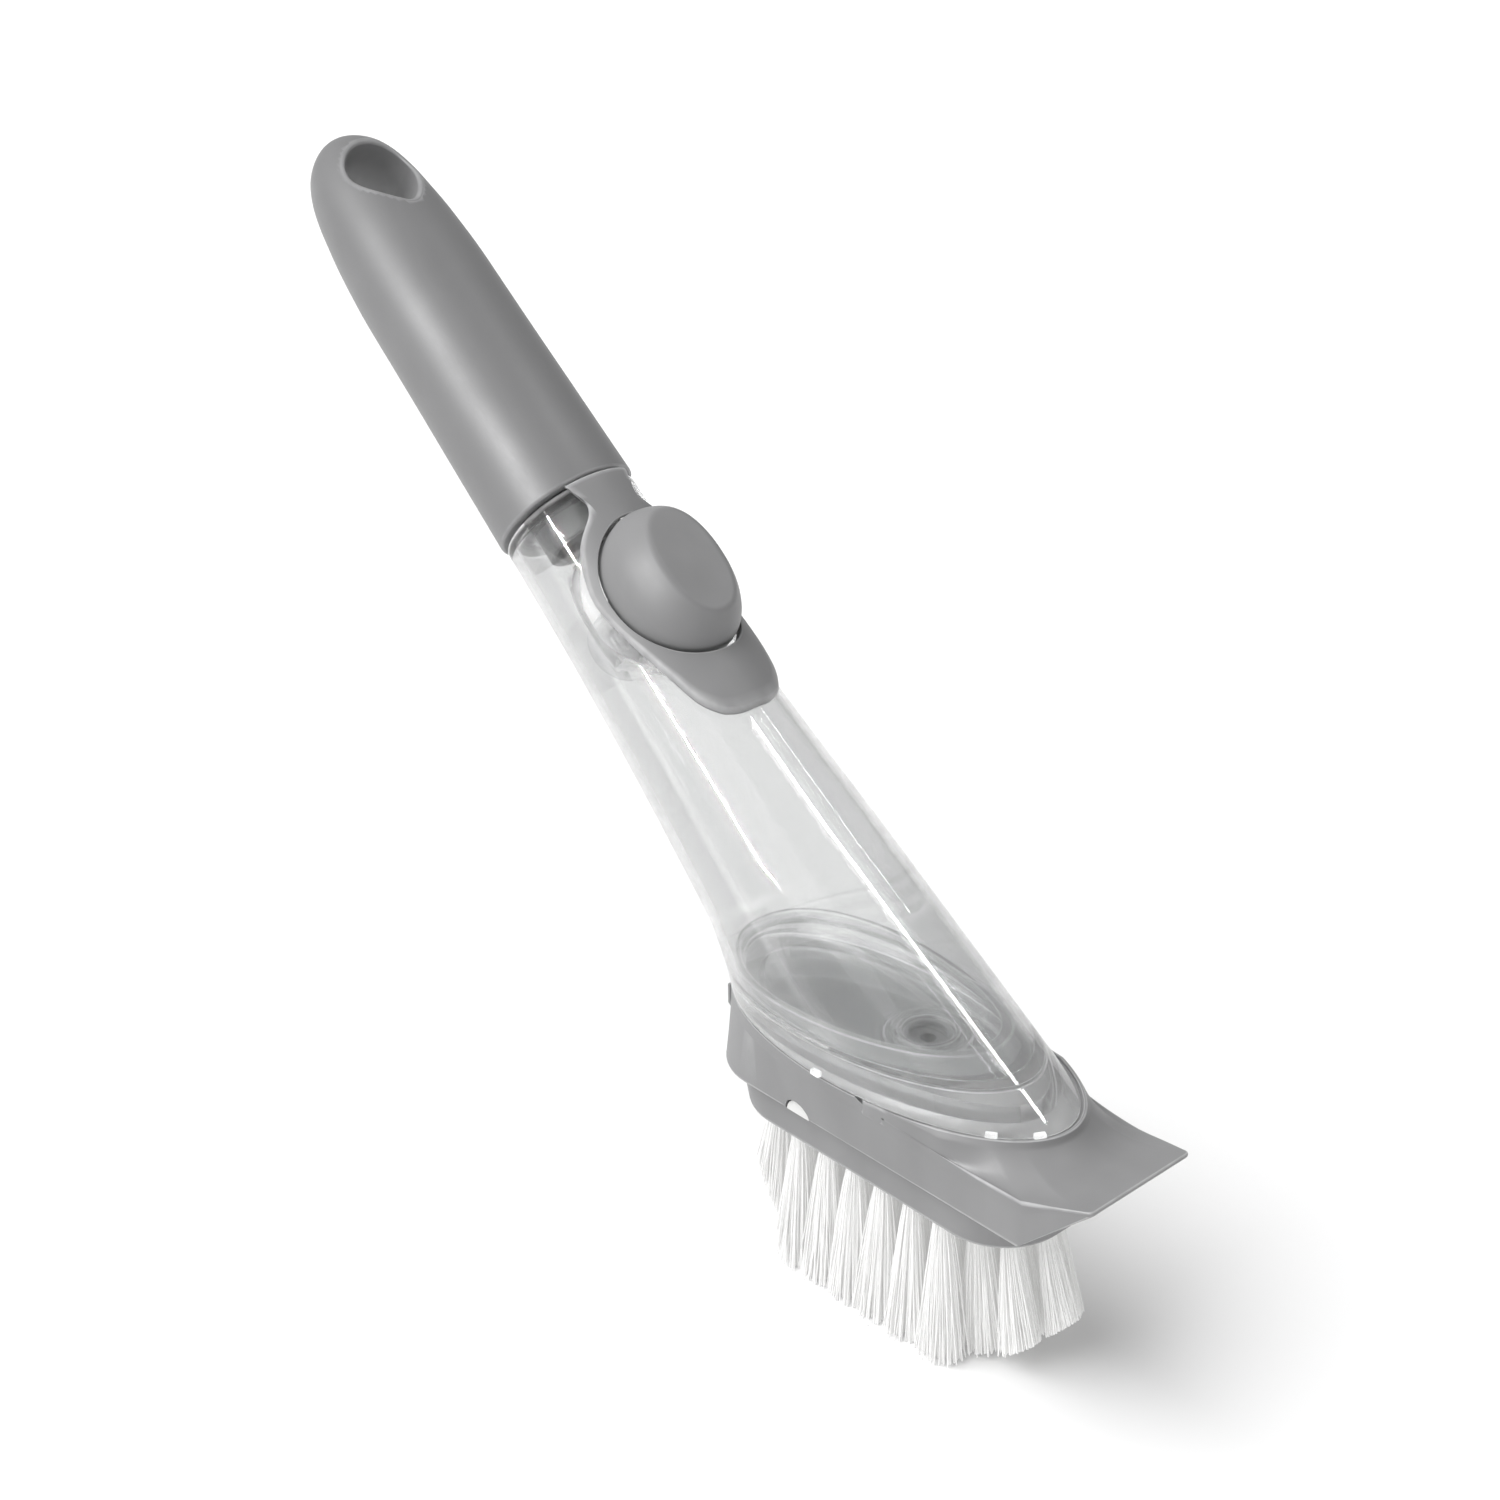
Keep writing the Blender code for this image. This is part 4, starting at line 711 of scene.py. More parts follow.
def clear_finish(name, colour, clearness, opacity, ior, painted_edge_glow=0.0):
    """Clear styrene: glossy, with slight waves from moulding, fine wipe marks and a painted glow along marked
    edges.
    """
    finish = Finish(name, transmission_weight=clearness, ior=ior, alpha=opacity, emission_strength=painted_edge_glow)
    # The edge glow is painted light: emission along the marked edges.
    if painted_edge_glow:
        glow = finish.blend((0, 0, 0), (1, 1, 1), finish.edge_highlight())
        finish.feed(finish.shader.inputs["Emission Color"], glow)
    wipe = finish.noise(size=0.0006, detail=2.0, stretch=(1.0, 1.0, 0.12))
    wiped_shade = 0.97
    wave_height = 0.00003
    finish.tint(colour, shade(colour, wiped_shade), finish.range(wipe, low=0.0, high=1.0))
    finish.roughen(finish.range(wipe, low=0.01, high=0.03))
    finish.relief(finish.noise(size=0.016, detail=1.0) * wave_height)
    return finish.material


def silicone_finish(settings):
    """Grey silicone: dull, a little dusty."""
    finish = Finish("grey_silicone_rubber", specular_ior_level=0.4)
    dust = finish.noise(size=0.0016, detail=3.0)
    dusty_shade = 1.25
    grain_height = 0.000004
    finish.tint(settings.seal_colour, shade(settings.seal_colour, dusty_shade),
                finish.range(dust, low=0.0, high=0.6))
    finish.roughen(finish.range(dust, low=0.45, high=0.65))
    finish.relief(finish.noise(size=0.0003, detail=1.0) * grain_height)
    return finish.material


def nylon_finish(settings):
    """White nylon strands: bright, with slight differences from strand to strand and a faint painted glow."""
    # The white emission is a painted glow that stands in for light scattered inside the nylon.
    finish = Finish("white_nylon_strands", specular_ior_level=0.4,
                    emission_color=(1.0, 1.0, 0.99, 1.0), emission_strength=0.12)
    strand = finish.noise(size=0.0009, detail=1.0, stretch=(1.0, 1.0, 0.02))
    dull_shade = 0.94
    grain_height = 0.000004
    finish.tint(settings.bristle_colour, shade(settings.bristle_colour, dull_shade),
                finish.range(strand, low=0.0, high=1.0))
    finish.roughen(finish.range(strand, low=0.28, high=0.42))
    finish.relief(finish.noise(size=0.0004, detail=1.0) * grain_height)
    return finish.material


def steel_finish():
    """Drawn spring wire."""
    finish = Finish("drawn_spring_wire", metallic=1.0)
    draw = finish.noise(size=0.0003, detail=2.0)
    bright = (0.62, 0.62, 0.63)
    dull = (0.5, 0.5, 0.51)
    line_height = 0.000003
    finish.tint(bright, dull, finish.range(draw, low=0.0, high=1.0))
    finish.roughen(finish.range(draw, low=0.22, high=0.36))
    finish.relief(draw * line_height)
    return finish.material


def floor_finish(settings):
    """Pale matt floor."""
    finish = Finish("pale_floor", specular_ior_level=0.1)
    cloud_shade = 0.98
    cloud = finish.range(finish.noise(size=0.2), low=0.0, high=1.0)
    finish.tint(settings.floor_colour, shade(settings.floor_colour, cloud_shade), cloud)
    finish.roughen(0.8)
    return finish.material


FINISHES = {}


def finishes():
    """Every finish of the brush by name, made on first use."""
    settings = bpy.context.scene.dish_brush
    if not FINISHES:
        FINISHES.update({
            "grip": soft_grip_finish(settings),
            "satin": satin_finish("satin_grey_moulding", settings.head_colour, roughness=0.5),
            "clear": clear_finish("clear_tank", settings.tank_colour,
                                  clearness=0.97, opacity=0.8, ior=1.45, painted_edge_glow=0.25),
            "foot": clear_finish("clear_foot", settings.foot_colour,
                                 clearness=0.82, opacity=0.85, ior=1.48, painted_edge_glow=0.3),
            "well": clear_finish("clear_well", settings.tank_colour, clearness=0.95, opacity=0.12, ior=1.03),
            "silicone": silicone_finish(settings),
            "pump": clear_finish("milky_pump", settings.pump_colour, clearness=0.75, opacity=0.6, ior=1.2),
            "white": satin_finish("white_moulding", settings.plug_colour, roughness=0.38),
            "nylon": nylon_finish(settings),
            "steel": steel_finish(),
        })
    return FINISHES


def tube_radius(station):
    """Outer radius of the tank's round part at a distance up the handle."""
    share = max(0.0, (TUBE_END - station) / (TUBE_END - FLARE_START))
    return TUBE_RADIUS + FLARE * share ** FLARE_POWER


def flare_point(angle, inset, height):
    """A point of the tank's flare, between the oval rim and the round tube."""
    radius = tube_radius(FLARE_START)
    top_front = HANDLE @ Vector((radius, 0, FLARE_START))
    slope = (top_front - Vector((RIM_HALF_LENGTH, 0, RIM_Z))).normalized().z
    front = RIM_HALF_LENGTH - inset / slope
    rear = RIM_HALF_LENGTH - inset
    rim = Vector(((front - rear) / 2 + (front + rear) / 2 * math.cos(angle),
                  (RIM_HALF_WIDTH - inset) * math.sin(angle), RIM_Z))
    inner = radius - inset
    top = HANDLE @ Vector((inner * math.cos(angle), inner * math.sin(angle), FLARE_START))
    return rim.lerp(top, (height - RIM_Z) / (top.z - rim.z))


def flare_ring(inset, height):
    """A level ring of the tank's flare."""
    return [flare_point(2 * math.pi * step / ROUND, inset, height) for step in range(ROUND)]


def tube_wall(inset):
    """Rings of the tank's flare and tube at one distance inside its surface, in the handle's frame."""
    back = HANDLE.inverted()
    start = [back @ point for point in flare_ring(inset, SEAM_Z)]
    wall = [(start, FINE_EDGE)]
    for place in range(TUBE_SPANS + 1):
        station = FLARE_START + (TUBE_END - FLARE_START) * place / (TUBE_SPANS + 1)
        wall.append((circle(tube_radius(station) - inset, station), FLARE_BLEND if place == 0 else 0.0))
    return wall


def tank_mesh(finish):
    """Clear tank, hollow right through, with an oval opening for the button's well."""
    inner = TUBE_RADIUS - TANK_WALL
    ceiling = TUBE_END - TANK_WALL
    wall = tube_wall(0.0)
    wall += [(circle(TUBE_RADIUS, TUBE_END), SHOULDER_ROUND), (circle(NECK_RADIUS, TUBE_END), FULL_EDGE),
             (circle(NECK_RADIUS, NECK_TOP), SOFT_EDGE), (circle(NECK_BORE_RADIUS, NECK_TOP), SOFT_EDGE),
             (circle(NECK_BORE_RADIUS, ceiling), BROAD_EDGE), (circle(inner, ceiling), CEILING_ROUND)]
    wall += reversed(tube_wall(TANK_WALL))
    tank = mark_edges(skin("soap_tank_clear", wall, finish, HANDLE, looped=True))
    seat = well_wall(WELL_WALL + CLEARANCE, WELL_FLOOR - WELL_WALL - CLEARANCE)
    combine(tank, skin("well_seat", seat, finish, PRESS), "DIFFERENCE")
    return tank


def well_mesh(finish):
    """Tub in the tank's oval opening, flush with the tube, with the pump's port through its floor."""
    tub = skin("button_well_clear", well_wall(WELL_WALL, WELL_FLOOR - WELL_WALL), finish, PRESS)
    stations = [FLARE_START + (TUBE_END - FLARE_START) * step / TUBE_SPANS for step in range(TUBE_SPANS + 1)]
    outside = [(circle(tube_radius(station), station), 0.0) for station in stations]
    combine(tub, skin("tube", outside, finish, HANDLE), "INTERSECT")
    combine(tub, skin("well", well_wall(0.0, WELL_FLOOR), finish, PRESS), "DIFFERENCE")
    port = CUP_BORE_RADIUS + CUP_WALL + CLEARANCE
    port_top = WELL_FLOOR + OVERRUN
    cutter = turned("port", [(0, port_top, 0), (port, port_top, 0), (port, 0, 0), (0, 0, 0)], finish, PRESS)
    combine(tub, cutter, "DIFFERENCE")
    return tub


def well_wall(margin, floor):
    """Oval prism round the button, wider than it by a margin, from a floor out past the tank's wall."""
    half_length = BUTTON_HALF_LENGTH + WELL_END_GAP + margin
    half_width = BUTTON_HALF_WIDTH + WELL_SIDE_GAP + margin
    levels = ((floor, 0.0), (floor + WELL_CORNER_RISE, FULL_EDGE), (BUTTON_HEIGHT, 0.0))
    return [(oval(half_length, half_width, level, BUTTON_OVAL_POWER), rounding) for level, rounding in levels]


def outlet_ring(radius, height):
    """A ring of the foot round the outlet."""
    return circle(radius, height, ROUND, OUTLET_X)


def socket_ring(inset, height):
    """A ring of the oval plug that the head's socket takes."""
    return oval(SOCKET_HALF_LENGTH - inset, SOCKET_HALF_WIDTH - inset, height)


def foot_mesh(finish):
    """Clear foot: rim, plug inside the tank, dished floor, outlet boss, spout and the plug for the head."""
    seam = SEAM_Z - CLEARANCE
    plug_inset = TANK_WALL + CLEARANCE
    floor_inset = plug_inset + PLUG_WALL
    underside = FLOOR - FLOOR_THICKNESS
    edge = flare_ring(floor_inset, FLOOR_EDGE)
    boss = outlet_ring(BOSS_RADIUS, FLOOR)
    wall = [
        (flare_ring(0, RIM_Z), RIM_CHAMFER),
        (flare_ring(0, seam), RIM_CHAMFER),
        (flare_ring(plug_inset, seam), FINE_EDGE),
        (flare_ring(plug_inset, seam + PLUG_RISE), SOFT_EDGE),
        (flare_ring(floor_inset, seam + PLUG_RISE), SOFT_EDGE),
        (edge, FULL_EDGE)]
    for step in range(1, FLOOR_STEPS):
        inward = step / FLOOR_STEPS
        drop = 1 - (1 - inward) ** FLOOR_POWER
        height = FLOOR_EDGE + drop * (FLOOR - FLOOR_EDGE)
        ring = [outer.lerp(inner, inward) for outer, inner in zip(edge, boss)]
        wall.append(([Vector((point.x, point.y, height)) for point in ring], 0.0))
    wall += [
        (boss, SOFT_EDGE),
        (outlet_ring(BOSS_TOP_RADIUS, BOSS_TOP), SOFT_EDGE),
        (outlet_ring(BOSS_RING_RADIUS, BOSS_TOP), FINE_EDGE),
        (outlet_ring(BOSS_RING_RADIUS - BOSS_RING_HEIGHT, BOSS_TOP + BOSS_RING_HEIGHT), FINE_EDGE),
        (outlet_ring(VALVE_SEAT_RADIUS, BOSS_TOP + BOSS_RING_HEIGHT), FINE_EDGE),
        (outlet_ring(VALVE_SEAT_RADIUS, VALVE_SEAT), FINE_EDGE),
        (outlet_ring(OUTLET_BORE_RADIUS, VALVE_SEAT), FINE_EDGE),
        (outlet_ring(OUTLET_BORE_RADIUS, SPOUT_FOOT), FINE_EDGE),
        (outlet_ring(SPOUT_RADIUS, SPOUT_FOOT), BROAD_EDGE),
        (outlet_ring(SPOUT_RADIUS, underside - HOUSING_DROP), FINE_EDGE),
        (outlet_ring(HOUSING_RADIUS, underside - HOUSING_DROP), FINE_EDGE),
        (outlet_ring(HOUSING_RADIUS, underside), FINE_EDGE),
        (socket_ring(SOCKET_WALL, underside + FLOOR_EDGE_EXTRA), FINE_EDGE),
        (socket_ring(SOCKET_WALL, SOCKET_FOOT), FINE_EDGE),
        (socket_ring(0.0, SOCKET_FOOT), BROAD_EDGE),
        (socket_ring(0.0, RIM_Z), FINE_EDGE)]
    return skin("tank_foot_clear", wall, finish, looped=True)


def valve_mesh(finish):
    """Soft valve: a flange on the seat and a hollow beak that hangs in the spout."""
    foot = VALVE_SEAT + CLEARANCE
    top = foot + VALVE_FLANGE
    outer = OUTLET_BORE_RADIUS - CLEARANCE
    inner = outer - VALVE_WALL
    beak = foot - VALVE_DEPTH
    flange = VALVE_SEAT_RADIUS - CLEARANCE
    profile = [(0, beak + VALVE_WALL, 0), (inner, beak + 2 * VALVE_WALL, SMALL_EDGE), (inner, top, FINE_EDGE),
               (flange, top, FINE_EDGE), (flange, foot, FINE_EDGE), (outer, foot, FINE_EDGE),
               (outer, beak + VALVE_WALL, SMALL_EDGE), (0, beak, 0)]
    return turned("outlet_valve_soft", profile, finish, OUTLET)


def washer(name, inner, outer, foot, top, finish, place, rounding=FINE_EDGE):
    """A ring of rectangular section with rounded edges."""
    corners = ((inner, top), (outer, top), (outer, foot), (inner, foot))
    profile = [(radius, height, rounding) for radius, height in corners]
    return turned(name, profile, finish, place, looped=True)


def collar_line():
    """Half of the collar's outline, from its foot's middle to its top's: station, width, rise and turn."""
    shares = smooth_line(COLLAR_SHARES[:-1], COLLAR_SPAN_STEPS)
    corner, middle = shares[-1], Vector(COLLAR_SHARES[-1])
    shares += [corner.lerp(middle, step / COLLAR_SPAN_STEPS) for step in range(1, COLLAR_SPAN_STEPS + 1)]
    return [(COLLAR_START + station * (COLLAR_END - COLLAR_START), width * COLLAR_HALF_WIDTH,
             rise * COLLAR_THICKNESS, turn * math.pi) for station, width, rise, turn in shares]


def collar_mesh(finish):
    """Saddle plate round the button, with a rounded edge all round."""
    half = collar_line()
    outline = half + [(station, -width, rise, -turn) for station, width, rise, turn in reversed(half[1:-1])]
    count = len(outline)
    known = np.maximum.accumulate([row[0] for row in half])
    rises = [row[2] for row in half]

    def on_plate(station, across, drop_share, upright=False):
        """A point over the tube: drop share 0 is the plate's outside, 1 its inside."""
        inner = tube_radius(station) + CLEARANCE
        rise = float(np.interp(station, known, rises))
        radius = inner + rise * (1 - drop_share)
        if upright:
            return Vector((math.sqrt(radius ** 2 - across ** 2), across, station))
        angle = math.asin(across / (inner + rise))
        return Vector((radius * math.cos(angle), radius * math.sin(angle), station))

    columns = []
    for place, (station, across, rise, turn) in enumerate(outline):
        edge = Vector((station, across))
        after, before = outline[(place + 1) % count], outline[place - 1]
        way = Vector((after[0] - before[0], after[1] - before[1])).normalized()
        opening = collar_opening(turn)
        inward = opening - edge
        slant = max(COLLAR_LEAST_SLANT, abs(inward.normalized().cross(way)))
        band = min(CUT_SHARE, COLLAR_BAND / (slant * inward.length))
        column = [on_plate(*opening, 1.0, True), on_plate(*opening, 0.0, True)]
        start = edge.lerp(opening, band)
        for step in range(1, COLLAR_ACROSS_STEPS):
            column.append(on_plate(*opening.lerp(start, step / COLLAR_ACROSS_STEPS), 0.0))
        for step in range(COLLAR_BAND_STEPS + 1):
            angle = math.pi / 2 * step / COLLAR_BAND_STEPS
            point = edge.lerp(opening, band * (1 - math.sin(angle)))
            column.append(on_plate(*point, COLLAR_BAND_DROP * (1 - math.cos(angle))))
        column.append(on_plate(*edge, 1.0))
        columns.append(column)
    roundings = [FINE_EDGE, COLLAR_OPENING_EDGE] + [0.0] * (len(columns[0]) - 3) + [FINE_EDGE]
    wall = [(list(ring), rounding) for ring, rounding in zip(zip(*columns), roundings)]
    return skin("button_collar_satin", wall, finish, HANDLE, looped=True)


def collar_opening(turn):
    """A point of the button's opening as (station, across), at a turn from the grip's side."""
    along, across = oval_point(turn, BUTTON_HALF_LENGTH + BUTTON_GAP, BUTTON_HALF_WIDTH + BUTTON_GAP,
                               BUTTON_OVAL_POWER)
    return Vector((BUTTON_STATION + along, across))


def button_ring(rise_share, lean_share, inset):
    """One oval of the button, between its straight skirt and its small flat top."""
    height = BUTTON_SKIRT_FOOT + rise_share * (BUTTON_HEIGHT - inset - BUTTON_SKIRT_FOOT)
    length = BUTTON_HALF_LENGTH - lean_share * (BUTTON_HALF_LENGTH - BUTTON_TOP_HALF_LENGTH)
    width = BUTTON_HALF_WIDTH - lean_share * (BUTTON_HALF_WIDTH - BUTTON_TOP_HALF_WIDTH)
    return oval(length - inset, width - inset, height, BUTTON_OVAL_POWER)


def button_mesh(finish):
    """Hollow oval button with the pump's stem under its top."""
    line = smooth_line(BUTTON_SIDE_SHARES, BUTTON_SPAN_STEPS)
    side = line[1:-BUTTON_SPAN_STEPS]
    wall = [(oval(0, 0, BUTTON_HEIGHT), 0.0), (button_ring(*line[-1], 0.0), BUTTON_EDGE)]
    wall += [(button_ring(*shares, 0.0), 0.0) for shares in reversed(side)]
    wall += [(button_ring(*line[0], 0.0), FINE_EDGE), (button_ring(*line[0], BUTTON_WALL), FINE_EDGE)]
    wall += [(button_ring(*shares, BUTTON_WALL), 0.0) for shares in side]
    wall += [(button_ring(*line[-1], BUTTON_WALL), BUTTON_EDGE),
             (oval(0, 0, BUTTON_HEIGHT - BUTTON_WALL), 0.0)]
    button = skin("push_button_satin", wall, finish, PRESS)
    top = BUTTON_HEIGHT - BUTTON_WALL / 2
    shoulder = PISTON_TOP + CLEARANCE
    disc_top = STEM_FOOT + STEM_DISC_THICKNESS
    profile = [(0, top, 0), (STEM_SHOULDER_RADIUS, top, 0), (STEM_SHOULDER_RADIUS, shoulder, FINE_EDGE),
               (STEM_RADIUS, shoulder, FINE_EDGE), (STEM_RADIUS, disc_top, FINE_EDGE),
               (STEM_DISC_RADIUS, disc_top, FINE_EDGE), (STEM_DISC_RADIUS, STEM_FOOT, FINE_EDGE),
               (0, STEM_FOOT, 0)]
    combine(button, turned("stem", profile, finish, PRESS), "UNION")
    return button


def piston_mesh(finish):
    """Soft cup ring on the stem, with a lip that faces down the pump."""
    foot = PISTON_TOP - PISTON_HEIGHT
    outer = CUP_BORE_RADIUS - CLEARANCE
    inner = STEM_RADIUS + CLEARANCE
    profile = [(inner, PISTON_TOP, FINE_EDGE), (outer - PISTON_LIP, PISTON_TOP, FINE_EDGE),
               (outer, foot + PISTON_LIP, SMALL_EDGE), (outer, foot, FINE_EDGE),
               (outer - PISTON_LIP, foot, FINE_EDGE),
               (STEM_DISC_RADIUS, foot + PISTON_LIP, SMALL_EDGE), (inner, foot + PISTON_LIP, FINE_EDGE)]
    return turned("piston_seal_soft", profile, finish, PRESS, looped=True)


def cup_mesh(finish):
    """Pump cylinder that hangs by its flange in the well's port."""
    flange_foot = WELL_FLOOR + GASKET_THICKNESS + 2 * CLEARANCE
    flange_top = flange_foot + CUP_FLANGE_THICKNESS
    outer = CUP_BORE_RADIUS + CUP_WALL
    foot = CUP_FLOOR - CUP_FLOOR_THICKNESS
    profile = [(CUP_HOLE_RADIUS, CUP_FLOOR, FINE_EDGE), (CUP_BORE_RADIUS, CUP_FLOOR, SOFT_EDGE),
               (CUP_BORE_RADIUS, flange_top, FINE_EDGE), (CUP_FLANGE_RADIUS, flange_top, FINE_EDGE),
               (CUP_FLANGE_RADIUS, flange_foot, FINE_EDGE), (outer, flange_foot, FINE_EDGE),
               (outer, foot, FULL_EDGE), (CUP_HOLE_RADIUS, foot, FINE_EDGE)]
    return turned("pump_cup_white", profile, finish, PRESS, looped=True)


def spring_line():
    """Middle line of the coil spring that pushes the button out, with closed turns at both ends."""
    low = CUP_FLOOR + CLEARANCE + SPRING_WIRE
    high = STEM_FOOT - CLEARANCE - SPRING_WIRE
    turns = SPRING_TURNS + 2 * SPRING_CLOSED_TURNS
    count = int(turns * SPRING_POINTS_PER_TURN)
    closed = SPRING_CLOSED_TURNS / turns
    climb = 2 * SPRING_WIRE * SPRING_CLOSED_TURNS * SPRING_CLOSED_SHARE
    line = []
    for step in range(count + 1):
        share = step / count
        height = float(np.interp(share, (0, closed, 1 - closed, 1), (low, low + climb, high - climb, high)))
        angle = 2 * math.pi * turns * share
        line.append((SPRING_RADIUS * math.cos(angle), SPRING_RADIUS * math.sin(angle), height))
    return line


def grip_line():
    """Smooth outer line of the grip as (radius, station), from its open end to its pole."""
    points = [Vector((radius, station)) for station, radius in GRIP_LINE]
    points.append(Vector((-points[-2].x, points[-2].y)))
    return smooth_line(points, GRIP_SPAN_STEPS)[:-GRIP_SPAN_STEPS]


def grip_mesh(finish):
    """Soft grip: a turned handle with a blind bore and an oval hang hole at its end."""
    line = grip_line()
    profile = [(point.x, point.y, 0.0) for point in reversed(line)]
    profile += [(GRIP_RADIUS, GRIP_START, GRIP_EDGE), (GRIP_BORE_RADIUS, GRIP_START, FINE_EDGE),
                (GRIP_BORE_RADIUS, GRIP_BORE_END, FULL_EDGE), (0, GRIP_BORE_END, 0)]
    grip = turned("handle_grip_soft", profile, finish, HANDLE, sides=ROUND)
    combine(grip, hole_cutter(line, finish), "DIFFERENCE")
    return grip


def hole_cutter(line, finish):
    """Cutter of the hang hole: straight inside, with rounded mouths that follow the grip's surface."""
    stations = [point.y for point in line]
    radii = [point.x for point in line]

    def ring(widening, depth, side):
        """The hole's outline on one side, widened, at a depth under the surface and pointed at its foot."""
        points = []
        for point in oval(HOLE_HALF_LENGTH + widening, HOLE_HALF_WIDTH + widening, 0):
            low = max(0.0, -point.x / (HOLE_HALF_LENGTH + widening))
            point.x *= 1 + (HOLE_STRETCH - 1) * low
            point.y *= 1 - HOLE_POINT * low ** 2
            station = HOLE_MIDDLE + point.x
            radius = float(np.interp(station, stations, radii))
            surface = math.sqrt(max(radius ** 2 - point.y ** 2, 0.0))
            points.append(Vector((side * (surface - depth), point.y, station)))
        return points

    angles = [math.radians(angle) for angle in HOLE_ANGLES]
    mouth = [(HOLE_EDGE * (1 - math.sin(angle)), HOLE_EDGE * (1 - math.cos(angle))) for angle in angles]
    widening, depth = mouth[-1]
    last = angles[-1]
    widening += HOLE_TANGENT * math.cos(last)
    mouth.append((widening, depth - HOLE_TANGENT * math.sin(last)))
    mouth.append((widening, -HOLE_LIFT))
    wall = [(ring(*step, -1), 0.0) for step in reversed(mouth)]
    wall += [(ring(*step, 1), 0.0) for step in mouth]
    return skin("hang_hole", wall, finish, HANDLE)


def insert_mesh(finish):
    """Cap inside the grip that screws onto the neck."""
    foot = GRIP_START + GRIP_EDGE
    inner = NECK_RADIUS + THREAD_HEIGHT + CLEARANCE
    outer = inner + INSERT_WALL
    ceiling = STOPPER_TOP + CLEARANCE
    top = ceiling + INSERT_CAP
    profile = [(0, top, 0), (outer, top, BROAD_EDGE), (outer, foot, FINE_EDGE), (inner, foot, FINE_EDGE),
               (inner, ceiling, SOFT_EDGE), (0, ceiling, 0)]
    return turned("grip_insert_satin", profile, finish, HANDLE, sides=ROUND)


def stopper_mesh(finish):
    """Hollow stopper: a flange on the neck's top and a skirt down its bore, with sealing ribs."""
    flange_foot = NECK_TOP + CLEARANCE
    outer = NECK_BORE_RADIUS - CLEARANCE
    inner = outer - STOPPER_WALL
    foot = flange_foot - STOPPER_DEPTH
    profile = [(0, STOPPER_TOP, 0), (NECK_RADIUS, STOPPER_TOP, SOFT_EDGE),
               (NECK_RADIUS, flange_foot, FINE_EDGE), (outer, flange_foot, FINE_EDGE)]
    for rib in range(STOPPER_RIBS):
        middle = flange_foot - STOPPER_RIB_PITCH * (rib + 1)
        profile += [(outer, middle + STOPPER_RIB * 2, FINE_EDGE), (outer + STOPPER_RIB, middle, FINE_EDGE),
                    (outer, middle - STOPPER_RIB * 2, FINE_EDGE)]
    profile += [(outer, foot, SMALL_EDGE), (inner, foot, SMALL_EDGE),
                (inner, flange_foot, SOFT_EDGE), (0, flange_foot, 0)]
    return turned("neck_seal_soft", profile, finish, HANDLE)


def strand_tree(name):
    """Node tree that turns a piece's edges into round strands with closed ends."""
    tree = bpy.data.node_groups.new(name, "GeometryNodeTree")
    for socket, kind in (("Geometry", "NodeSocketGeometry"), ("Radius", "NodeSocketFloat"),
                         ("Sides", "NodeSocketInt"), ("Unevenness", "NodeSocketFloat"),
                         ("Seed", "NodeSocketInt"), ("Finish", "NodeSocketMaterial")):
        tree.interface.new_socket(socket, in_out="INPUT", socket_type=kind)
    tree.interface.new_socket("Geometry", in_out="OUTPUT", socket_type="NodeSocketGeometry")
    source, result = tree.nodes.new("NodeGroupInput"), tree.nodes.new("NodeGroupOutput")

    def add(kind, settings, inputs):
        made = tree.nodes.new(kind)
        for key, value in settings.items():
            setattr(made, key, value)
        for key, value in inputs.items():
            if isinstance(value, bpy.types.NodeSocket):
                tree.links.new(value, made.inputs[key])
            else:
                made.inputs[key].default_value = value
        return made

    given = source.outputs
    least = add("ShaderNodeMath", {"operation": "SUBTRACT"}, {0: 1.0, 1: given["Unevenness"]})
    most = add("ShaderNodeMath", {"operation": "ADD"}, {0: 1.0, 1: given["Unevenness"]})
    lines = add("GeometryNodeMeshToCurve", {}, {"Mesh": given["Geometry"]})
    part = add("GeometryNodeInputMeshIsland", {}, {})
    kept = add("GeometryNodeCaptureAttribute", {"domain": "POINT"}, {"Geometry": given["Geometry"]})
    kept.capture_items.new("INT", "Strand")
    tree.links.new(part.outputs["Island Index"], kept.inputs["Strand"])
    tree.links.new(kept.outputs["Geometry"], lines.inputs["Mesh"])
    chance = add("FunctionNodeRandomValue", {"data_type": "FLOAT"},
                 {RANDOM_LEAST: least.outputs[0], RANDOM_MOST: most.outputs[0],
                  RANDOM_ID: kept.outputs["Strand"], RANDOM_SEED: given["Seed"]})
    sized = add("GeometryNodeSetCurveRadius", {},
                {"Curve": lines.outputs["Curve"], "Radius": chance.outputs[RANDOM_FLOAT]})
    outline = add("GeometryNodeCurvePrimitiveCircle", {"mode": "RADIUS"},
                  {"Resolution": given["Sides"], "Radius": given["Radius"]})
    solid = add("GeometryNodeCurveToMesh", {},
                {"Curve": sized.outputs["Curve"], "Profile Curve": outline.outputs["Curve"],
                 "Fill Caps": True})
    real = add("GeometryNodeRealizeInstances", {}, {"Geometry": solid.outputs["Mesh"]})
    painted = add("GeometryNodeSetMaterial", {},
                  {"Geometry": real.outputs["Geometry"], "Material": given["Finish"]})
    tree.links.new(painted.outputs["Geometry"], result.inputs["Geometry"])
    return tree


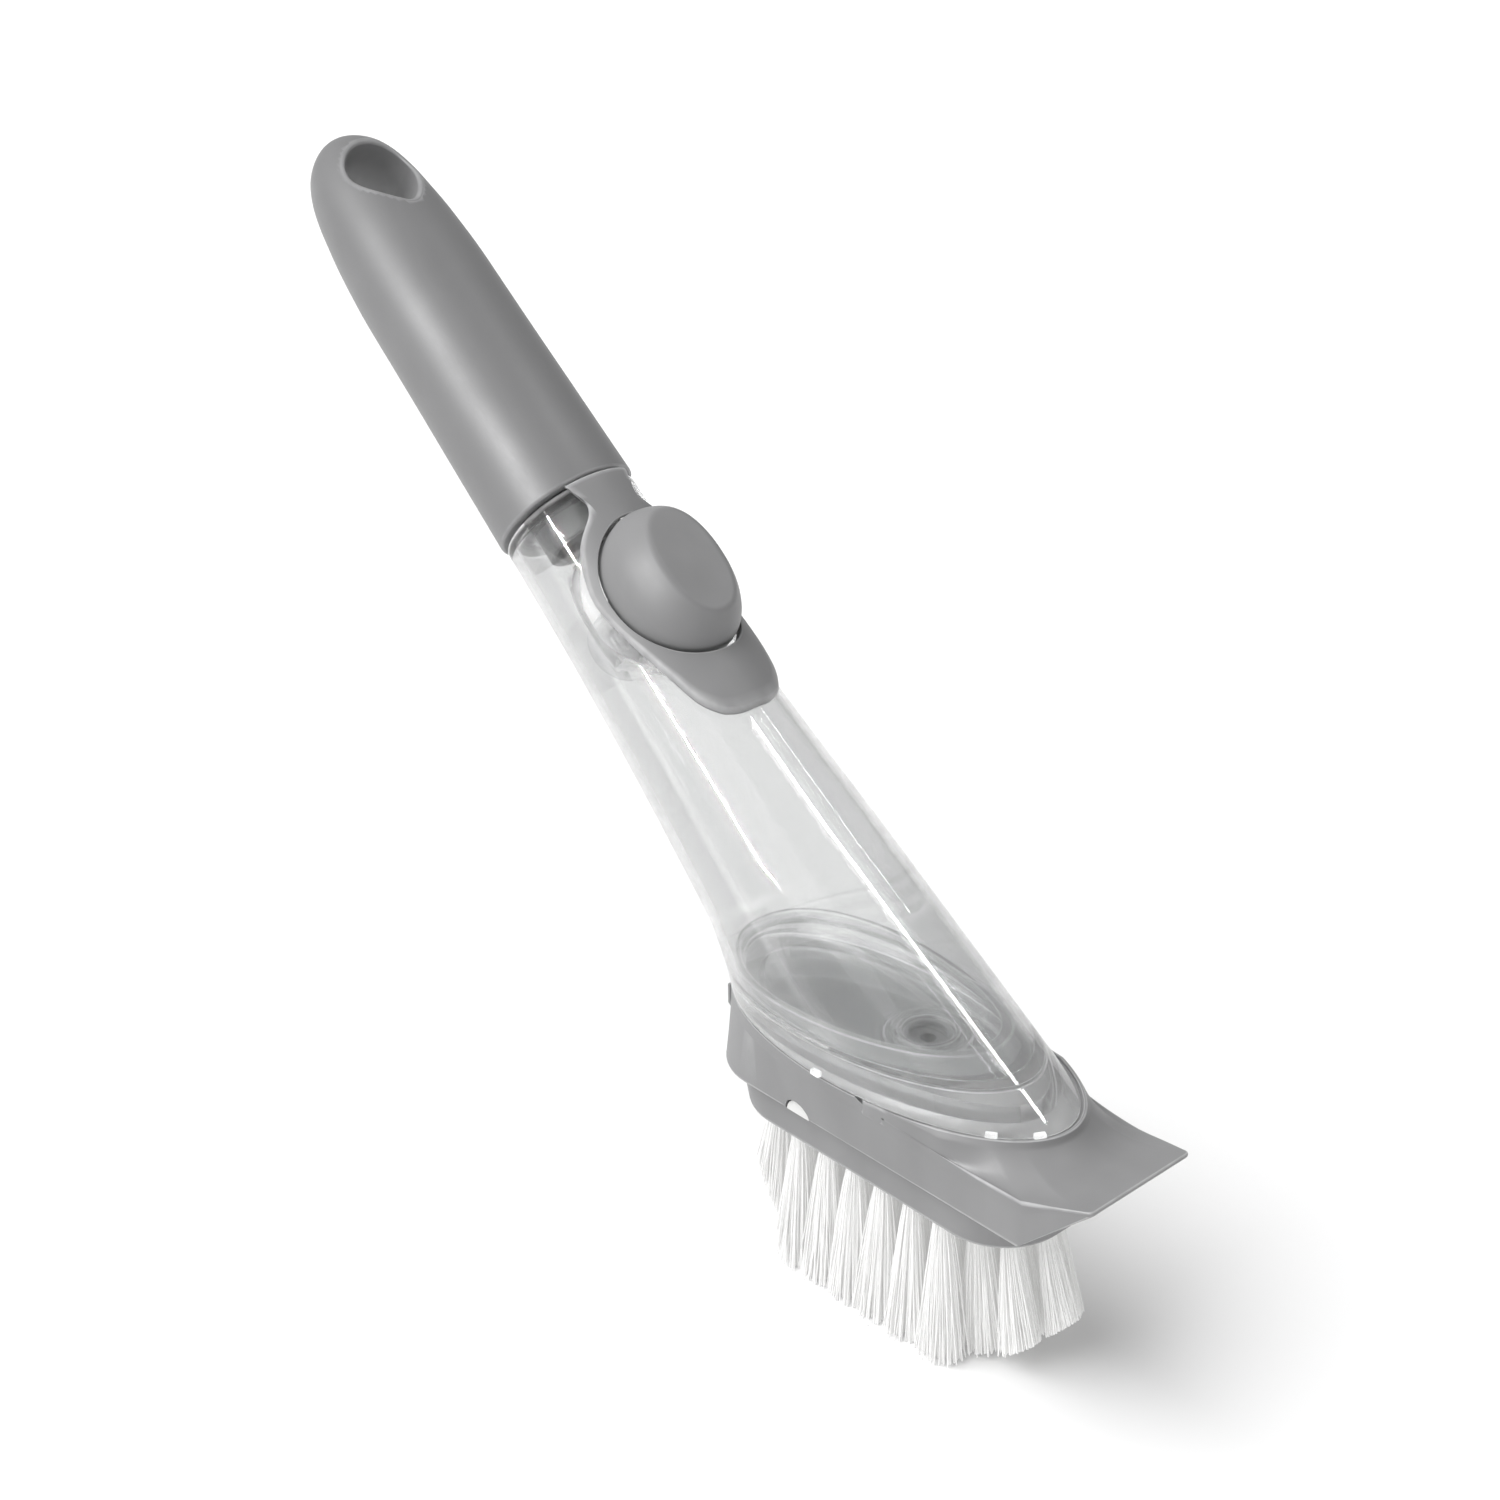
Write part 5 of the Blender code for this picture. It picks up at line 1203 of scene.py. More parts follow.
def strands(name, lines, radius, sides, finish, place=None, unevenness=0.0):
    """Round strands along lines of points, made by the node tree and kept as a plain mesh."""
    bm = bmesh.new()
    for line in lines:
        points = [bm.verts.new(point) for point in line]
        for start, end in zip(points, points[1:]):
            bm.edges.new((start, end))
    mesh = bpy.data.meshes.new(name)
    bm.to_mesh(mesh)
    bm.free()
    if place is not None:
        mesh.transform(place)
    piece = new_object(name, mesh, finish)
    step = piece.modifiers.new("strands", "NODES")
    step.node_group = bpy.data.node_groups.get("brush_strands") or strand_tree("brush_strands")
    values = {"Radius": radius, "Sides": sides, "Unevenness": unevenness, "Seed": STRAND_SEED,
              "Finish": finish}
    for item in step.node_group.interface.items_tree:
        if item.in_out == "INPUT" and item.name in values:
            step[item.identifier] = values[item.name]
    settle(piece)
    return piece


def join(piece, *others):
    """Put other pieces' meshes into one piece."""
    bm = bmesh.new()
    for part in (piece, *others):
        bm.from_mesh(part.data)
    bm.to_mesh(piece.data)
    bm.free()
    for part in others:
        bpy.data.objects.remove(part, do_unlink=True)
    piece.data.set_sharp_from_angle(angle=SHARP_ANGLE)


def thread_line(radius, start, turns, turn_share=0.0):
    """Middle line of a thread that winds up the handle."""
    count = int(turns * THREAD_POINTS_PER_TURN)
    line = []
    for step in range(count + 1):
        turned_by = step / THREAD_POINTS_PER_TURN
        angle = 2 * math.pi * (turned_by + turn_share)
        line.append((radius * math.cos(angle), radius * math.sin(angle), start + THREAD_PITCH * turned_by))
    return line


def rounded_distance(x, y, half_length, half_width, radius):
    """Signed distance from a point to a rounded rectangle round the origin."""
    over_x = abs(x) - (half_length - radius)
    over_y = abs(y) - (half_width - radius)
    outside = math.hypot(max(over_x, 0.0), max(over_y, 0.0))
    return outside + min(max(over_x, over_y), 0.0) - radius


def on_rounded(towards, centre_x, half_length, half_width, radius, start_x=0.0):
    """Where a ray from (start_x, 0) towards a point meets a rounded rectangle."""
    direction = Vector((towards[0] - start_x, towards[1])).normalized()
    near, far = 0.0, 2 * (half_length + half_width)
    for halving in range(HALVINGS):
        middle = (near + far) / 2
        x = start_x + direction.x * middle - centre_x
        if rounded_distance(x, direction.y * middle, half_length, half_width, radius) > 0:
            far = middle
        else:
            near = middle
    return start_x + direction.x * near, direction.y * near


def on_oval(towards, half_length, half_width):
    """Where the ray from the foot's middle towards a point meets an oval."""
    share = math.hypot(towards[0] / half_length, towards[1] / half_width)
    return towards[0] / share, towards[1] / share


def top_edge():
    """Upper edge of one side of the head: round the foot, down the crease, out to the blade and across."""
    start = math.acos(CREASE_START_X / RIM_HALF_LENGTH)
    start_width = RIM_HALF_WIDTH * math.sin(start)
    crease_foot = DECK_Z - CREASE_DROP
    points = []
    for step in range(REAR_STEPS + 1):
        angle = math.pi + (start - math.pi) * step / REAR_STEPS
        points.append(Vector((RIM_HALF_LENGTH * math.cos(angle), RIM_HALF_WIDTH * math.sin(angle), DECK_Z)))
    for step in range(1, CREASE_STEPS + 1):
        share = step / CREASE_STEPS
        x = CREASE_START_X + share * (CREASE_END_X - CREASE_START_X)
        y = CREASE_END_HALF_WIDTH + (start_width - CREASE_END_HALF_WIDTH) * (1 - share) ** CREASE_POWER
        points.append(Vector((x, y, crease_foot + CREASE_DROP * (1 - share) ** 2)))
    corner = points[-1]
    tip = Vector((BLADE_X, BLADE_HALF_WIDTH, crease_foot + BLADE_RISE))
    turn = rounded([corner, tip, Vector((BLADE_X, 0, tip.z))], [0, BLADE_CORNER, 0], False)
    points += [corner.lerp(turn[1], step / BLADE_SIDE_STEPS) for step in range(1, BLADE_SIDE_STEPS + 1)]
    points += turn[2:-2]
    points += [turn[-2].lerp(turn[-1], step / BLADE_STEPS) for step in range(BLADE_STEPS + 1)]
    points[0].y = 0.0
    return points


def lip_edge(top):
    """Lower edge of one side of the head, a point for each point of the upper edge."""
    half_length = (LIP_FRONT + LIP_REAR) / 2
    centre_x = (LIP_FRONT - LIP_REAR) / 2
    points = []
    for place in range(REAR_STEPS + 1):
        x, y = on_rounded(top[place], centre_x, half_length, LIP_HALF_WIDTH, LIP_CORNER_RADIUS)
        points.append(Vector((x, y, LIP_Z)))
    last = points[-1]
    corner = Vector((LIP_FRONT, LIP_HALF_WIDTH, LIP_Z))
    points += [last.lerp(corner, step / CREASE_STEPS) for step in range(1, CREASE_STEPS + 1)]
    points += [corner] * (len(top) - len(points) - BLADE_STEPS)
    middle = Vector((LIP_FRONT, 0, LIP_Z))
    points += [corner.lerp(middle, step / BLADE_STEPS) for step in range(1, BLADE_STEPS + 1)]
    return points


def dish_base(x):
    """Height of the deck's lowest sweep: level beside the foot, turning up softly into the blade."""
    ahead = (x - CREASE_END_X) / DISH_TURN
    turn = DISH_TURN * (math.log1p(math.exp(-abs(ahead))) + max(ahead, 0.0))
    return DECK_Z - CREASE_DROP + BLADE_RISE / (BLADE_X - CREASE_END_X) * turn


def deck_column(edge, socket, behind_crease):
    """From the head's edge to the socket's: the dish, the bead round the foot and the deck under its rim."""
    if behind_crease:
        count = DISH_STEPS + len(BEAD_ROUNDINGS) + 1
        return [(edge.lerp(socket, step / count), 0.0) for step in range(1, count)]
    foot_x, foot_y = on_oval(edge, RIM_HALF_LENGTH, RIM_HALF_WIDTH)
    room = max(0.0, math.hypot(edge.x, edge.y) - math.hypot(foot_x, foot_y))
    bead = min(1.0, room / BEAD_RUN_IN)

    def beside_foot(offset, height):
        x, y = on_oval(edge, RIM_HALF_LENGTH + offset * bead, RIM_HALF_WIDTH + offset * bead)
        return Vector((x, y, DECK_Z + height * bead))

    bead_outer = BEAD_GAP + BEAD_WIDTH
    foot = beside_foot(bead_outer + BEAD_SLOPE, -BEAD_FOOT_DROP)
    edge_rise = edge.z - dish_base(edge.x)
    foot_rise = foot.z - dish_base(foot.x)
    start = min(EDGE_RUN_MOST, EDGE_RUN / (foot - edge).length)
    column = []
    for step in range(DISH_STEPS):
        share = start + (1 - start) * step / DISH_STEPS
        point = edge.lerp(foot, share)
        point.z = dish_base(point.x) + edge_rise * (1 - share) ** EDGE_POWER + foot_rise * share ** DISH_POWER
        column.append((point, 0.0))
    bead_points = (foot, beside_foot(bead_outer, BEAD_HEIGHT), beside_foot(BEAD_GAP, BEAD_HEIGHT),
                   beside_foot(BEAD_GAP, 0.0))
    return column + list(zip(bead_points, BEAD_ROUNDINGS))


def block_point(towards, inset, height, draft=0.0):
    """A point of the bristle block's outline, or of the pocket round it where the inset is negative."""
    x, y = on_rounded(towards, BLOCK_X, BLOCK_HALF_LENGTH - draft - inset, BLOCK_HALF_WIDTH - inset,
                      BLOCK_CORNER_RADIUS - inset, BLOCK_X)
    return Vector((x, y, height))


def shell_column(edge, lip, behind_crease):
    """One cross section of the head shell, from the lip up, over the top and back inside, with roundings."""
    along_blade = min(1.0, max(0.0, (edge.x - CREASE_END_X) / (BLADE_X - CREASE_END_X) * BLADE_THINNING))
    rim_depth = RIM_DEPTH + (BLADE_EDGE - RIM_DEPTH) * along_blade
    web_top = DECK_Z - SOCKET_DEPTH
    web_foot = web_top - WEB_THICKNESS
    x, y = on_oval(edge, SOCKET_HALF_LENGTH + CLEARANCE, SOCKET_HALF_WIDTH + 2 * CLEARANCE)
    socket = Vector((x, y, DECK_Z))
    outlet = Vector((OUTLET_X, 0))
    hole = outlet + (Vector((x, y)) - outlet).normalized() * (SPOUT_RADIUS + 2 * CLEARANCE)
    column = [(lip, LIP_ROUND), (edge - Vector((0, 0, rim_depth)), EDGE_ROUND), (edge, EDGE_ROUND)]
    column += deck_column(edge, socket, behind_crease)
    column += [(socket, FINE_EDGE), (Vector((x, y, web_top)), FINE_EDGE),
               (Vector((*hole, web_top)), FINE_EDGE),
               (Vector((*hole, web_foot)), FINE_EDGE), (block_point(lip, -CLEARANCE, web_foot), SMALL_EDGE),
               (block_point(lip, -CLEARANCE, LIP_Z), SMALL_EDGE)]
    return column


def all_round(half):
    """Complete a half outline, from rear middle to front middle, with its mirror image."""
    return half + [Vector((point.x, -point.y, point.z)) for point in reversed(half[1:-1])]


def shell_mesh(finish):
    """Head: socket for the foot, crease, dished front, scraper blade, pocket for the block, release tab."""
    top = top_edge()
    lip = lip_edge(top)
    columns = [shell_column(edge, low, place <= REAR_STEPS)
               for place, (edge, low) in enumerate(zip(top, lip))]
    roundings = [rounding for point, rounding in columns[-1]]
    wall = []
    for level, rounding in enumerate(roundings):
        wall.append((all_round([column[level][0] for column in columns]), rounding))
    shell = mark_edges(skin("head_shell_satin", wall, finish, looped=True))
    combine(shell, release_tab(finish), "UNION")
    for side in (-1, 1):
        combine(shell, lock_notch(side, finish), "DIFFERENCE")
    return shell


def release_tab(finish):
    """Springy thumb tab that stands off the head's rear wall, with its root below."""
    back = -(LIP_REAR + TAB_OVERHANG)
    face = back + TAB_THICKNESS
    root = -(LIP_REAR - TAB_ROOT_DEPTH)
    top = DECK_Z - TAB_DROP
    foot = top - TAB_HEIGHT
    root_foot = foot - TAB_ROOT_DROP
    outline = [(root, root_foot), (back, foot), (back, top), (face, top), (face, foot + TAB_THICKNESS),
               (root, root_foot + TAB_ROOT_HEIGHT)]
    return prism("release_tab", outline, -TAB_HALF_WIDTH, TAB_HALF_WIDTH, finish, TAB_ROUND)


def half_moon(radius):
    """Half disc outline with its straight side down on the lip."""
    angles = (math.pi * step / LOCK_STEPS for step in range(LOCK_STEPS + 1))
    return [(LOCK_X + radius * math.cos(angle), LIP_Z + radius * math.sin(angle)) for angle in angles]


def lock_notch(side, finish):
    """Half-moon window in the shell's lip."""
    reach = LOCK_RADIUS + CLEARANCE
    outline = half_moon(reach) + [(LOCK_X - reach, LIP_Z - OVERRUN), (LOCK_X + reach, LIP_Z - OVERRUN)]
    faces = sorted((side * (BLOCK_HALF_WIDTH + CLEARANCE / 2), side * (LIP_HALF_WIDTH + OVERRUN)))
    return prism("lock_notch", outline, *faces, finish)


def plug_mesh(name, side, finish):
    """White half-moon plug between the block and the shell."""
    faces = sorted((side * (BLOCK_HALF_WIDTH + CLEARANCE), side * LIP_HALF_WIDTH))
    return prism(name, half_moon(LOCK_RADIUS), *faces, finish, FINE_EDGE)


def row_half_lengths():
    """Half length of each row of bristles, from the near side to the far side."""
    return [BLOCK_HALF_LENGTH - BLOCK_END_DRAFT - margin for margin in ROW_MARGINS]


def block_mesh(finish):
    """Block that fills the pocket, with a slot for each row's backing and a duct for the soap."""
    lip = lip_edge(top_edge())
    levels = ((BRISTLE_LENGTH, BLOCK_END_DRAFT, BLOCK_EDGE_ROUND), (LIP_Z, 0.0, 0.0),
              (BLOCK_TOP, 0.0, SMALL_EDGE))
    around = 2 * len(lip) - 2
    wall = [([Vector((0.0, 0.0, BRISTLE_LENGTH))] * around, 0.0)]
    wall += [(all_round([block_point(low, 0.0, level, draft) for low in lip]), rounding)
             for level, draft, rounding in levels]
    wall += [([Vector((0.0, 0.0, BLOCK_TOP))] * around, 0.0)]
    block = skin("bristle_block_satin", wall, finish)
    for place, half_length in enumerate(row_half_lengths()):
        middle = (place - MIDDLE_ROW) * ROW_PITCH
        half_width = ROW_HALF_WIDTH + CLEARANCE
        reach = half_length + CLEARANCE
        slot = box("slot", (BLOCK_X - reach, middle - half_width, BRISTLE_LENGTH - OVERRUN),
                   (BLOCK_X + reach, middle + half_width, BRISTLE_LENGTH + ROW_THICKNESS + CLEARANCE), finish)
        combine(block, slot, "DIFFERENCE")
    combine(block, duct(DUCT_RADIUS, finish), "DIFFERENCE")
    return block


def duct(radius, finish):
    """Upright round cutter for the soap's way out."""
    top = BLOCK_TOP + OVERRUN
    foot = BRISTLE_LENGTH - OVERRUN
    return turned("duct", [(0, top, 0), (radius, top, 0), (radius, foot, 0), (0, foot, 0)], finish, OUTLET)


def crown_height(x, y):
    """Height at which the bristles are trimmed: flat in the middle, rising at both ends."""
    ahead = max(0.0, (x - CROWN_FRONT_START) / CROWN_FRONT_RUN)
    splayed_width = MIDDLE_ROW * ROW_PITCH + SPLAY_WIDTH
    rear_start = -CROWN_REAR_START - CROWN_REAR_EXTRA * max(0.0, 1 - (y / splayed_width) ** 2)
    behind = max(0.0, (rear_start - x) / CROWN_REAR_RUN)
    return min(CROWN_FRONT_RISE * ahead ** 2 + CROWN_REAR_RISE * behind ** 2, CROWN_FRONT_RISE)


def tuft_places(half_length, row):
    """Middles of a row's tufts. Rows beside the centre are set half a pitch over, past the soap's duct."""
    shift = TUFT_PITCH / 2 if row % 2 else 0.0
    reach = half_length - TUFT_RADIUS
    first = math.ceil((BLOCK_X - reach - shift) / TUFT_PITCH)
    last = math.floor((BLOCK_X + reach - shift) / TUFT_PITCH)
    places = [shift + number * TUFT_PITCH for number in range(first, last + 1)]
    if row == MIDDLE_ROW:
        places = [place for place in places if abs(place - OUTLET_X) > DUCT_RADIUS + TUFT_RADIUS]
    return places


def strand_line(tuft_x, row_y, around, ring_share, chance, settings):
    """Middle line of one strand, from its root to where it is trimmed, a little bent."""
    offset = Vector((math.cos(around), math.sin(around))) * TUFT_RADIUS * ring_share
    root = Vector((tuft_x + offset.x, row_y + offset.y, BRISTLE_LENGTH + ROW_THICKNESS / 2))
    along_share = tuft_x / SPLAY_REACH
    across_share = row_y / (MIDDLE_ROW * ROW_PITCH)
    splay_x = SPLAY_LENGTHS[along_share > 0] * math.copysign(abs(along_share) ** SPLAY_POWER, along_share)
    splay_y = SPLAY_WIDTH * math.copysign(across_share ** 2, across_share)
    lean = Vector((chance.gauss(0, settings.strand_lean), chance.gauss(0, settings.strand_lean)))
    floor = Vector((root.x + splay_x + offset.x * TUFT_SPREAD[0] + lean.x,
                    root.y + splay_y + offset.y * TUFT_SPREAD[1] + lean.y, 0))
    trim = abs(chance.gauss(0, settings.strand_trim))
    low, high = 0.0, 1.0
    for halving in range(HALVINGS):
        middle = (low + high) / 2
        point = root.lerp(floor, middle)
        if point.z > crown_height(point.x, point.y) + trim:
            low = middle
        else:
            high = middle
    tip = root.lerp(floor, high)
    bend = Vector((chance.gauss(0, settings.strand_bend), chance.gauss(0, settings.strand_bend), 0))
    line = []
    for step in range(STRAND_STEPS + 1):
        share = step / STRAND_STEPS
        line.append(root.lerp(tip, share) + bend * 4 * share * (1 - share))
    return line


def bristle_row(row, half_length, settings, finish):
    """One slice of backing with its tufts of nylon strands."""
    middle = (row - MIDDLE_ROW) * ROW_PITCH
    name = "bristle_row_%d_nylon" % (row + 1)
    backing = box("backing", (BLOCK_X - half_length, middle - ROW_HALF_WIDTH, BRISTLE_LENGTH),
                  (BLOCK_X + half_length, middle + ROW_HALF_WIDTH, BRISTLE_LENGTH + ROW_THICKNESS), finish)
    if row == MIDDLE_ROW:
        combine(backing, duct(ROW_DUCT_RADIUS, finish), "DIFFERENCE")
    chance = random.Random(STRAND_SEED + row)
    lines = []
    for place in tuft_places(half_length, row):
        for number in range(settings.strands_per_tuft):
            ring_share = math.sqrt((number + 0.5) / settings.strands_per_tuft)
            lines.append(strand_line(place, middle, number * GOLDEN_ANGLE, ring_share, chance, settings))
    piece = strands(name, lines, settings.strand_radius, STRAND_SIDES, finish, unevenness=STRAND_UNEVENNESS)
    join(piece, backing)
    return piece


def small_clips(finish):
    """Clear catches round the foot's rim, with softly rounded edges."""
    clips = []
    for x, y in CLIP_PLACES:
        way = Vector((x / RIM_HALF_LENGTH ** 2, y / RIM_HALF_WIDTH ** 2, 0)).normalized()
        turn = Matrix((way, Vector((-way.y, way.x, 0)), (0, 0, 1))).transposed().to_4x4()
        place = Matrix.Translation((x, y, RIM_Z)) @ turn
        outline = [(-CLIP_SINK, 0.0), (CLIP_REACH, 0.0), (CLIP_REACH, CLIP_HEIGHT), (-CLIP_SINK, CLIP_HEIGHT)]
        clip = prism("clip", outline, -CLIP_HALF_WIDTH, CLIP_HALF_WIDTH, finish, FINE_EDGE)
        clip.data.transform(place)
        clips.append(clip)
    return clips


def lamp(name, kind, way, energy):
    """A lamp that shines on the brush from a direction, turned along the handle."""
    light = bpy.data.lights.new(name, kind)
    light.energy = energy
    back = Vector(way).normalized()
    along = HANDLE.to_3x3() @ Vector((0, 0, 1))
    up = (along - back * along.dot(back)).normalized()
    matrix = Matrix((up.cross(back), up, back)).transposed().to_4x4()
    matrix.translation = Vector(LIGHT_AIM) + back * LIGHT_DISTANCE
    made = bpy.data.objects.new(name, light)
    made.matrix_world = matrix
    bpy.context.scene.collection.objects.link(made)
    return made


def panel_lamp(name, way, size, energy):
    """A rectangular lamp, whose reflection shows as a streak or a window on clear plastic."""
    made = lamp(name, "AREA", way, energy)
    made.visible_diffuse = False
    light = made.data
    light.shape = "RECTANGLE"
    light.size, light.size_y = size


def camera_matrix():
    """The camera's axes and place."""
    matrix = Matrix((CAMERA_RIGHT, CAMERA_UP, CAMERA_BACK)).transposed().to_4x4()
    matrix.translation = CAMERA_PLACE
    return matrix


def colour_setting(name, description, default):
    """A colour that the panel offers."""
    return bpy.props.FloatVectorProperty(
        name=name, description=description, subtype="COLOR", min=0, max=1, default=default)


class BRUSH_PG_settings(bpy.types.PropertyGroup):
    """Sizes, colours and light of the dressed brush"""

    grip_colour: colour_setting("Grip", "Colour of the soft-touch grip", (0.165, 0.165, 0.168))
    head_colour: colour_setting("Head", "Colour of the collar, button and head", (0.235, 0.235, 0.238))
    tank_colour: colour_setting("Tank", "Tint of the clear tank", (0.8, 0.805, 0.805))
    foot_colour: colour_setting("Foot", "Tint of the clear foot", (0.93, 0.935, 0.935))
    pump_colour: colour_setting("Pump", "Tint of the milky pump cylinder", (0.95, 0.95, 0.95))
    seal_colour: colour_setting("Seals", "Colour of the stopper and the soft seals", (0.2, 0.2, 0.2))
    plug_colour: colour_setting("Plugs", "Colour of the white plugs", (0.7, 0.7, 0.69))
    bristle_colour: colour_setting("Bristles", "Colour of the nylon strands", (0.8, 0.8, 0.795))
    floor_colour: colour_setting("Floor", "Colour of the floor and of the light all round", (0.9, 0.9, 0.9))
    strands_per_tuft: bpy.props.IntProperty(
        name="Strands per tuft", description="How many nylon strands each tuft has", default=230,
        min=7, max=240)
    strand_radius: bpy.props.FloatProperty(
        name="Strand radius", description="Radius of one nylon strand", default=0.00013, min=0, precision=6,
        unit="LENGTH")
    strand_lean: bpy.props.FloatProperty(
        name="Strand lean", description="How far a strand's tip strays from its tuft", default=0.0006, min=0,
        precision=5, unit="LENGTH")
    strand_bend: bpy.props.FloatProperty(
        name="Strand bend", description="How far a strand bows at its middle", default=0.0003, min=0,
        precision=5, unit="LENGTH")
    strand_trim: bpy.props.FloatProperty(
        name="Strand trim", description="How unevenly the strands are trimmed", default=0.0003, min=0,
        precision=5, unit="LENGTH")
    sun_strength: bpy.props.FloatProperty(
        name="Soft sun", description="Strength of the soft light from the near side", default=3.5, min=0)
    highlight_strength: bpy.props.FloatProperty(
        name="Highlights", description="Strength of the lamps that show as highlights", default=1.0, min=0)
    air_strength: bpy.props.FloatProperty(
        name="Air", description="Strength of the light from all round", default=0.5, min=0)


class BRUSH_OT_tank(bpy.types.Operator):
    """Build the clear tank, its foot and the well for the button"""

    bl_idname = "dish_brush.tank"
    bl_label = "Soap tank"

    def execute(self, context):
        finish = finishes()
        thread = strands("neck_thread", [thread_line(NECK_RADIUS, THREAD_START, THREAD_TURNS)],
                         THREAD_HEIGHT, THREAD_SIDES, finish["clear"], HANDLE)
        tank = tank_mesh(finish["clear"])
        join(tank, thread)
        dress(tank, "tank", "clear_plastic", "soap_tank")
        dress(well_mesh(finish["well"]), "tank", "clear_plastic", "button_well")
        foot = foot_mesh(finish["foot"])
        join(foot, *small_clips(finish["foot"]))
        dress(mark_edges(foot), "tank", "clear_plastic", "tank_foot")
        return {"FINISHED"}


class BRUSH_OT_outlet(bpy.types.Operator):
    """Build the valve, its retainer and the seal round the spout"""

    bl_idname = "dish_brush.outlet"
    bl_label = "Outlet"

    def execute(self, context):
        finish = finishes()
        dress(valve_mesh(finish["silicone"]), "tank", "grey_silicone", "outlet_valve")
        foot = VALVE_SEAT + VALVE_FLANGE + 2 * CLEARANCE
        retainer = washer("valve_retainer_satin", RETAINER_HOLE_RADIUS, VALVE_SEAT_RADIUS - CLEARANCE, foot,
                          foot + RETAINER_THICKNESS, finish["satin"], OUTLET)
        dress(retainer, "tank", "satin_grey", "valve_retainer")
        inner = SPOUT_RADIUS + CLEARANCE
        foot = DECK_Z - SOCKET_DEPTH + CLEARANCE
        seal = washer("spout_seal_soft", inner, inner + SEAL_WIDTH, foot, foot + SEAL_HEIGHT,
                      finish["silicone"], OUTLET)
        dress(seal, "head", "grey_silicone", "spout_seal")
        return {"FINISHED"}


class BRUSH_OT_collar(bpy.types.Operator):
    """Build the saddle plate round the button"""

    bl_idname = "dish_brush.collar"
    bl_label = "Collar"

    def execute(self, context):
        dress(mark_edges(collar_mesh(finishes()["satin"])), "tank", "satin_grey", "button_collar")
        return {"FINISHED"}


class BRUSH_OT_pump(bpy.types.Operator):
    """Build the button, the pump under it and its spring"""

    bl_idname = "dish_brush.pump"
    bl_label = "Button and pump"

    def execute(self, context):
        finish = finishes()
        dress(button_mesh(finish["satin"]), "button", "satin_grey", "push_button")
        dress(piston_mesh(finish["silicone"]), "button", "grey_silicone", "piston_seal")
        dress(cup_mesh(finish["pump"]), "tank", "white_plastic", "pump_cup")
        foot = WELL_FLOOR + CLEARANCE
        gasket = washer("cup_gasket_soft", CUP_FLANGE_RADIUS - GASKET_WIDTH, CUP_FLANGE_RADIUS, foot,
                        foot + GASKET_THICKNESS, finish["silicone"], PRESS)
        dress(gasket, "tank", "grey_silicone", "cup_gasket")
        spring = strands("button_spring_wire", [spring_line()], SPRING_WIRE, SPRING_SIDES,
                         finish["steel"], PRESS)
        dress(spring, "tank", "spring_steel", "button_spring")
        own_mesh(spring)
        return {"FINISHED"}


class BRUSH_OT_grip(bpy.types.Operator):
    """Build the grip, the cap inside it and the tank's stopper"""

    bl_idname = "dish_brush.grip"
    bl_label = "Grip"

    def execute(self, context):
        finish = finishes()
        dress(mark_edges(grip_mesh(finish["grip"])), "grip", "soft_grip", "handle_grip")
        insert = insert_mesh(finish["satin"])
        inner = NECK_RADIUS + THREAD_HEIGHT + CLEARANCE
        thread = strands("cap_thread", [thread_line(inner, THREAD_START, THREAD_TURNS, 0.5)],
                         THREAD_HEIGHT, THREAD_SIDES, finish["satin"], HANDLE)
        join(insert, thread)
        dress(insert, "grip", "satin_grey", "grip_insert")
        dress(stopper_mesh(finish["silicone"]), "stopper", "grey_silicone", "neck_seal")
        return {"FINISHED"}


class BRUSH_OT_head(bpy.types.Operator):
    """Build the head shell, its lock plugs and the bristle block"""

    bl_idname = "dish_brush.head"
    bl_label = "Head"

    def execute(self, context):
        finish = finishes()
        dress(shell_mesh(finish["satin"]), "head", "satin_grey", "head_shell")
        for side, name in ((-1, "lock_plug_near"), (1, "lock_plug_far")):
            dress(plug_mesh(name + "_white", side, finish["white"]), "head", "white_plastic", name)
        dress(mark_edges(block_mesh(finish["satin"])), "head", "satin_grey", "bristle_block")
        return {"FINISHED"}


class BRUSH_OT_bristles(bpy.types.Operator):
    """Build the rows of nylon bristles"""

    bl_idname = "dish_brush.bristles"
    bl_label = "Bristles"

    def execute(self, context):
        settings = context.scene.dish_brush
        for row, half_length in enumerate(row_half_lengths()):
            piece = bristle_row(row, half_length, settings, finishes()["nylon"])
            dress(piece, "head", "white_nylon", "bristle_row_%d" % (row + 1))
        return {"FINISHED"}


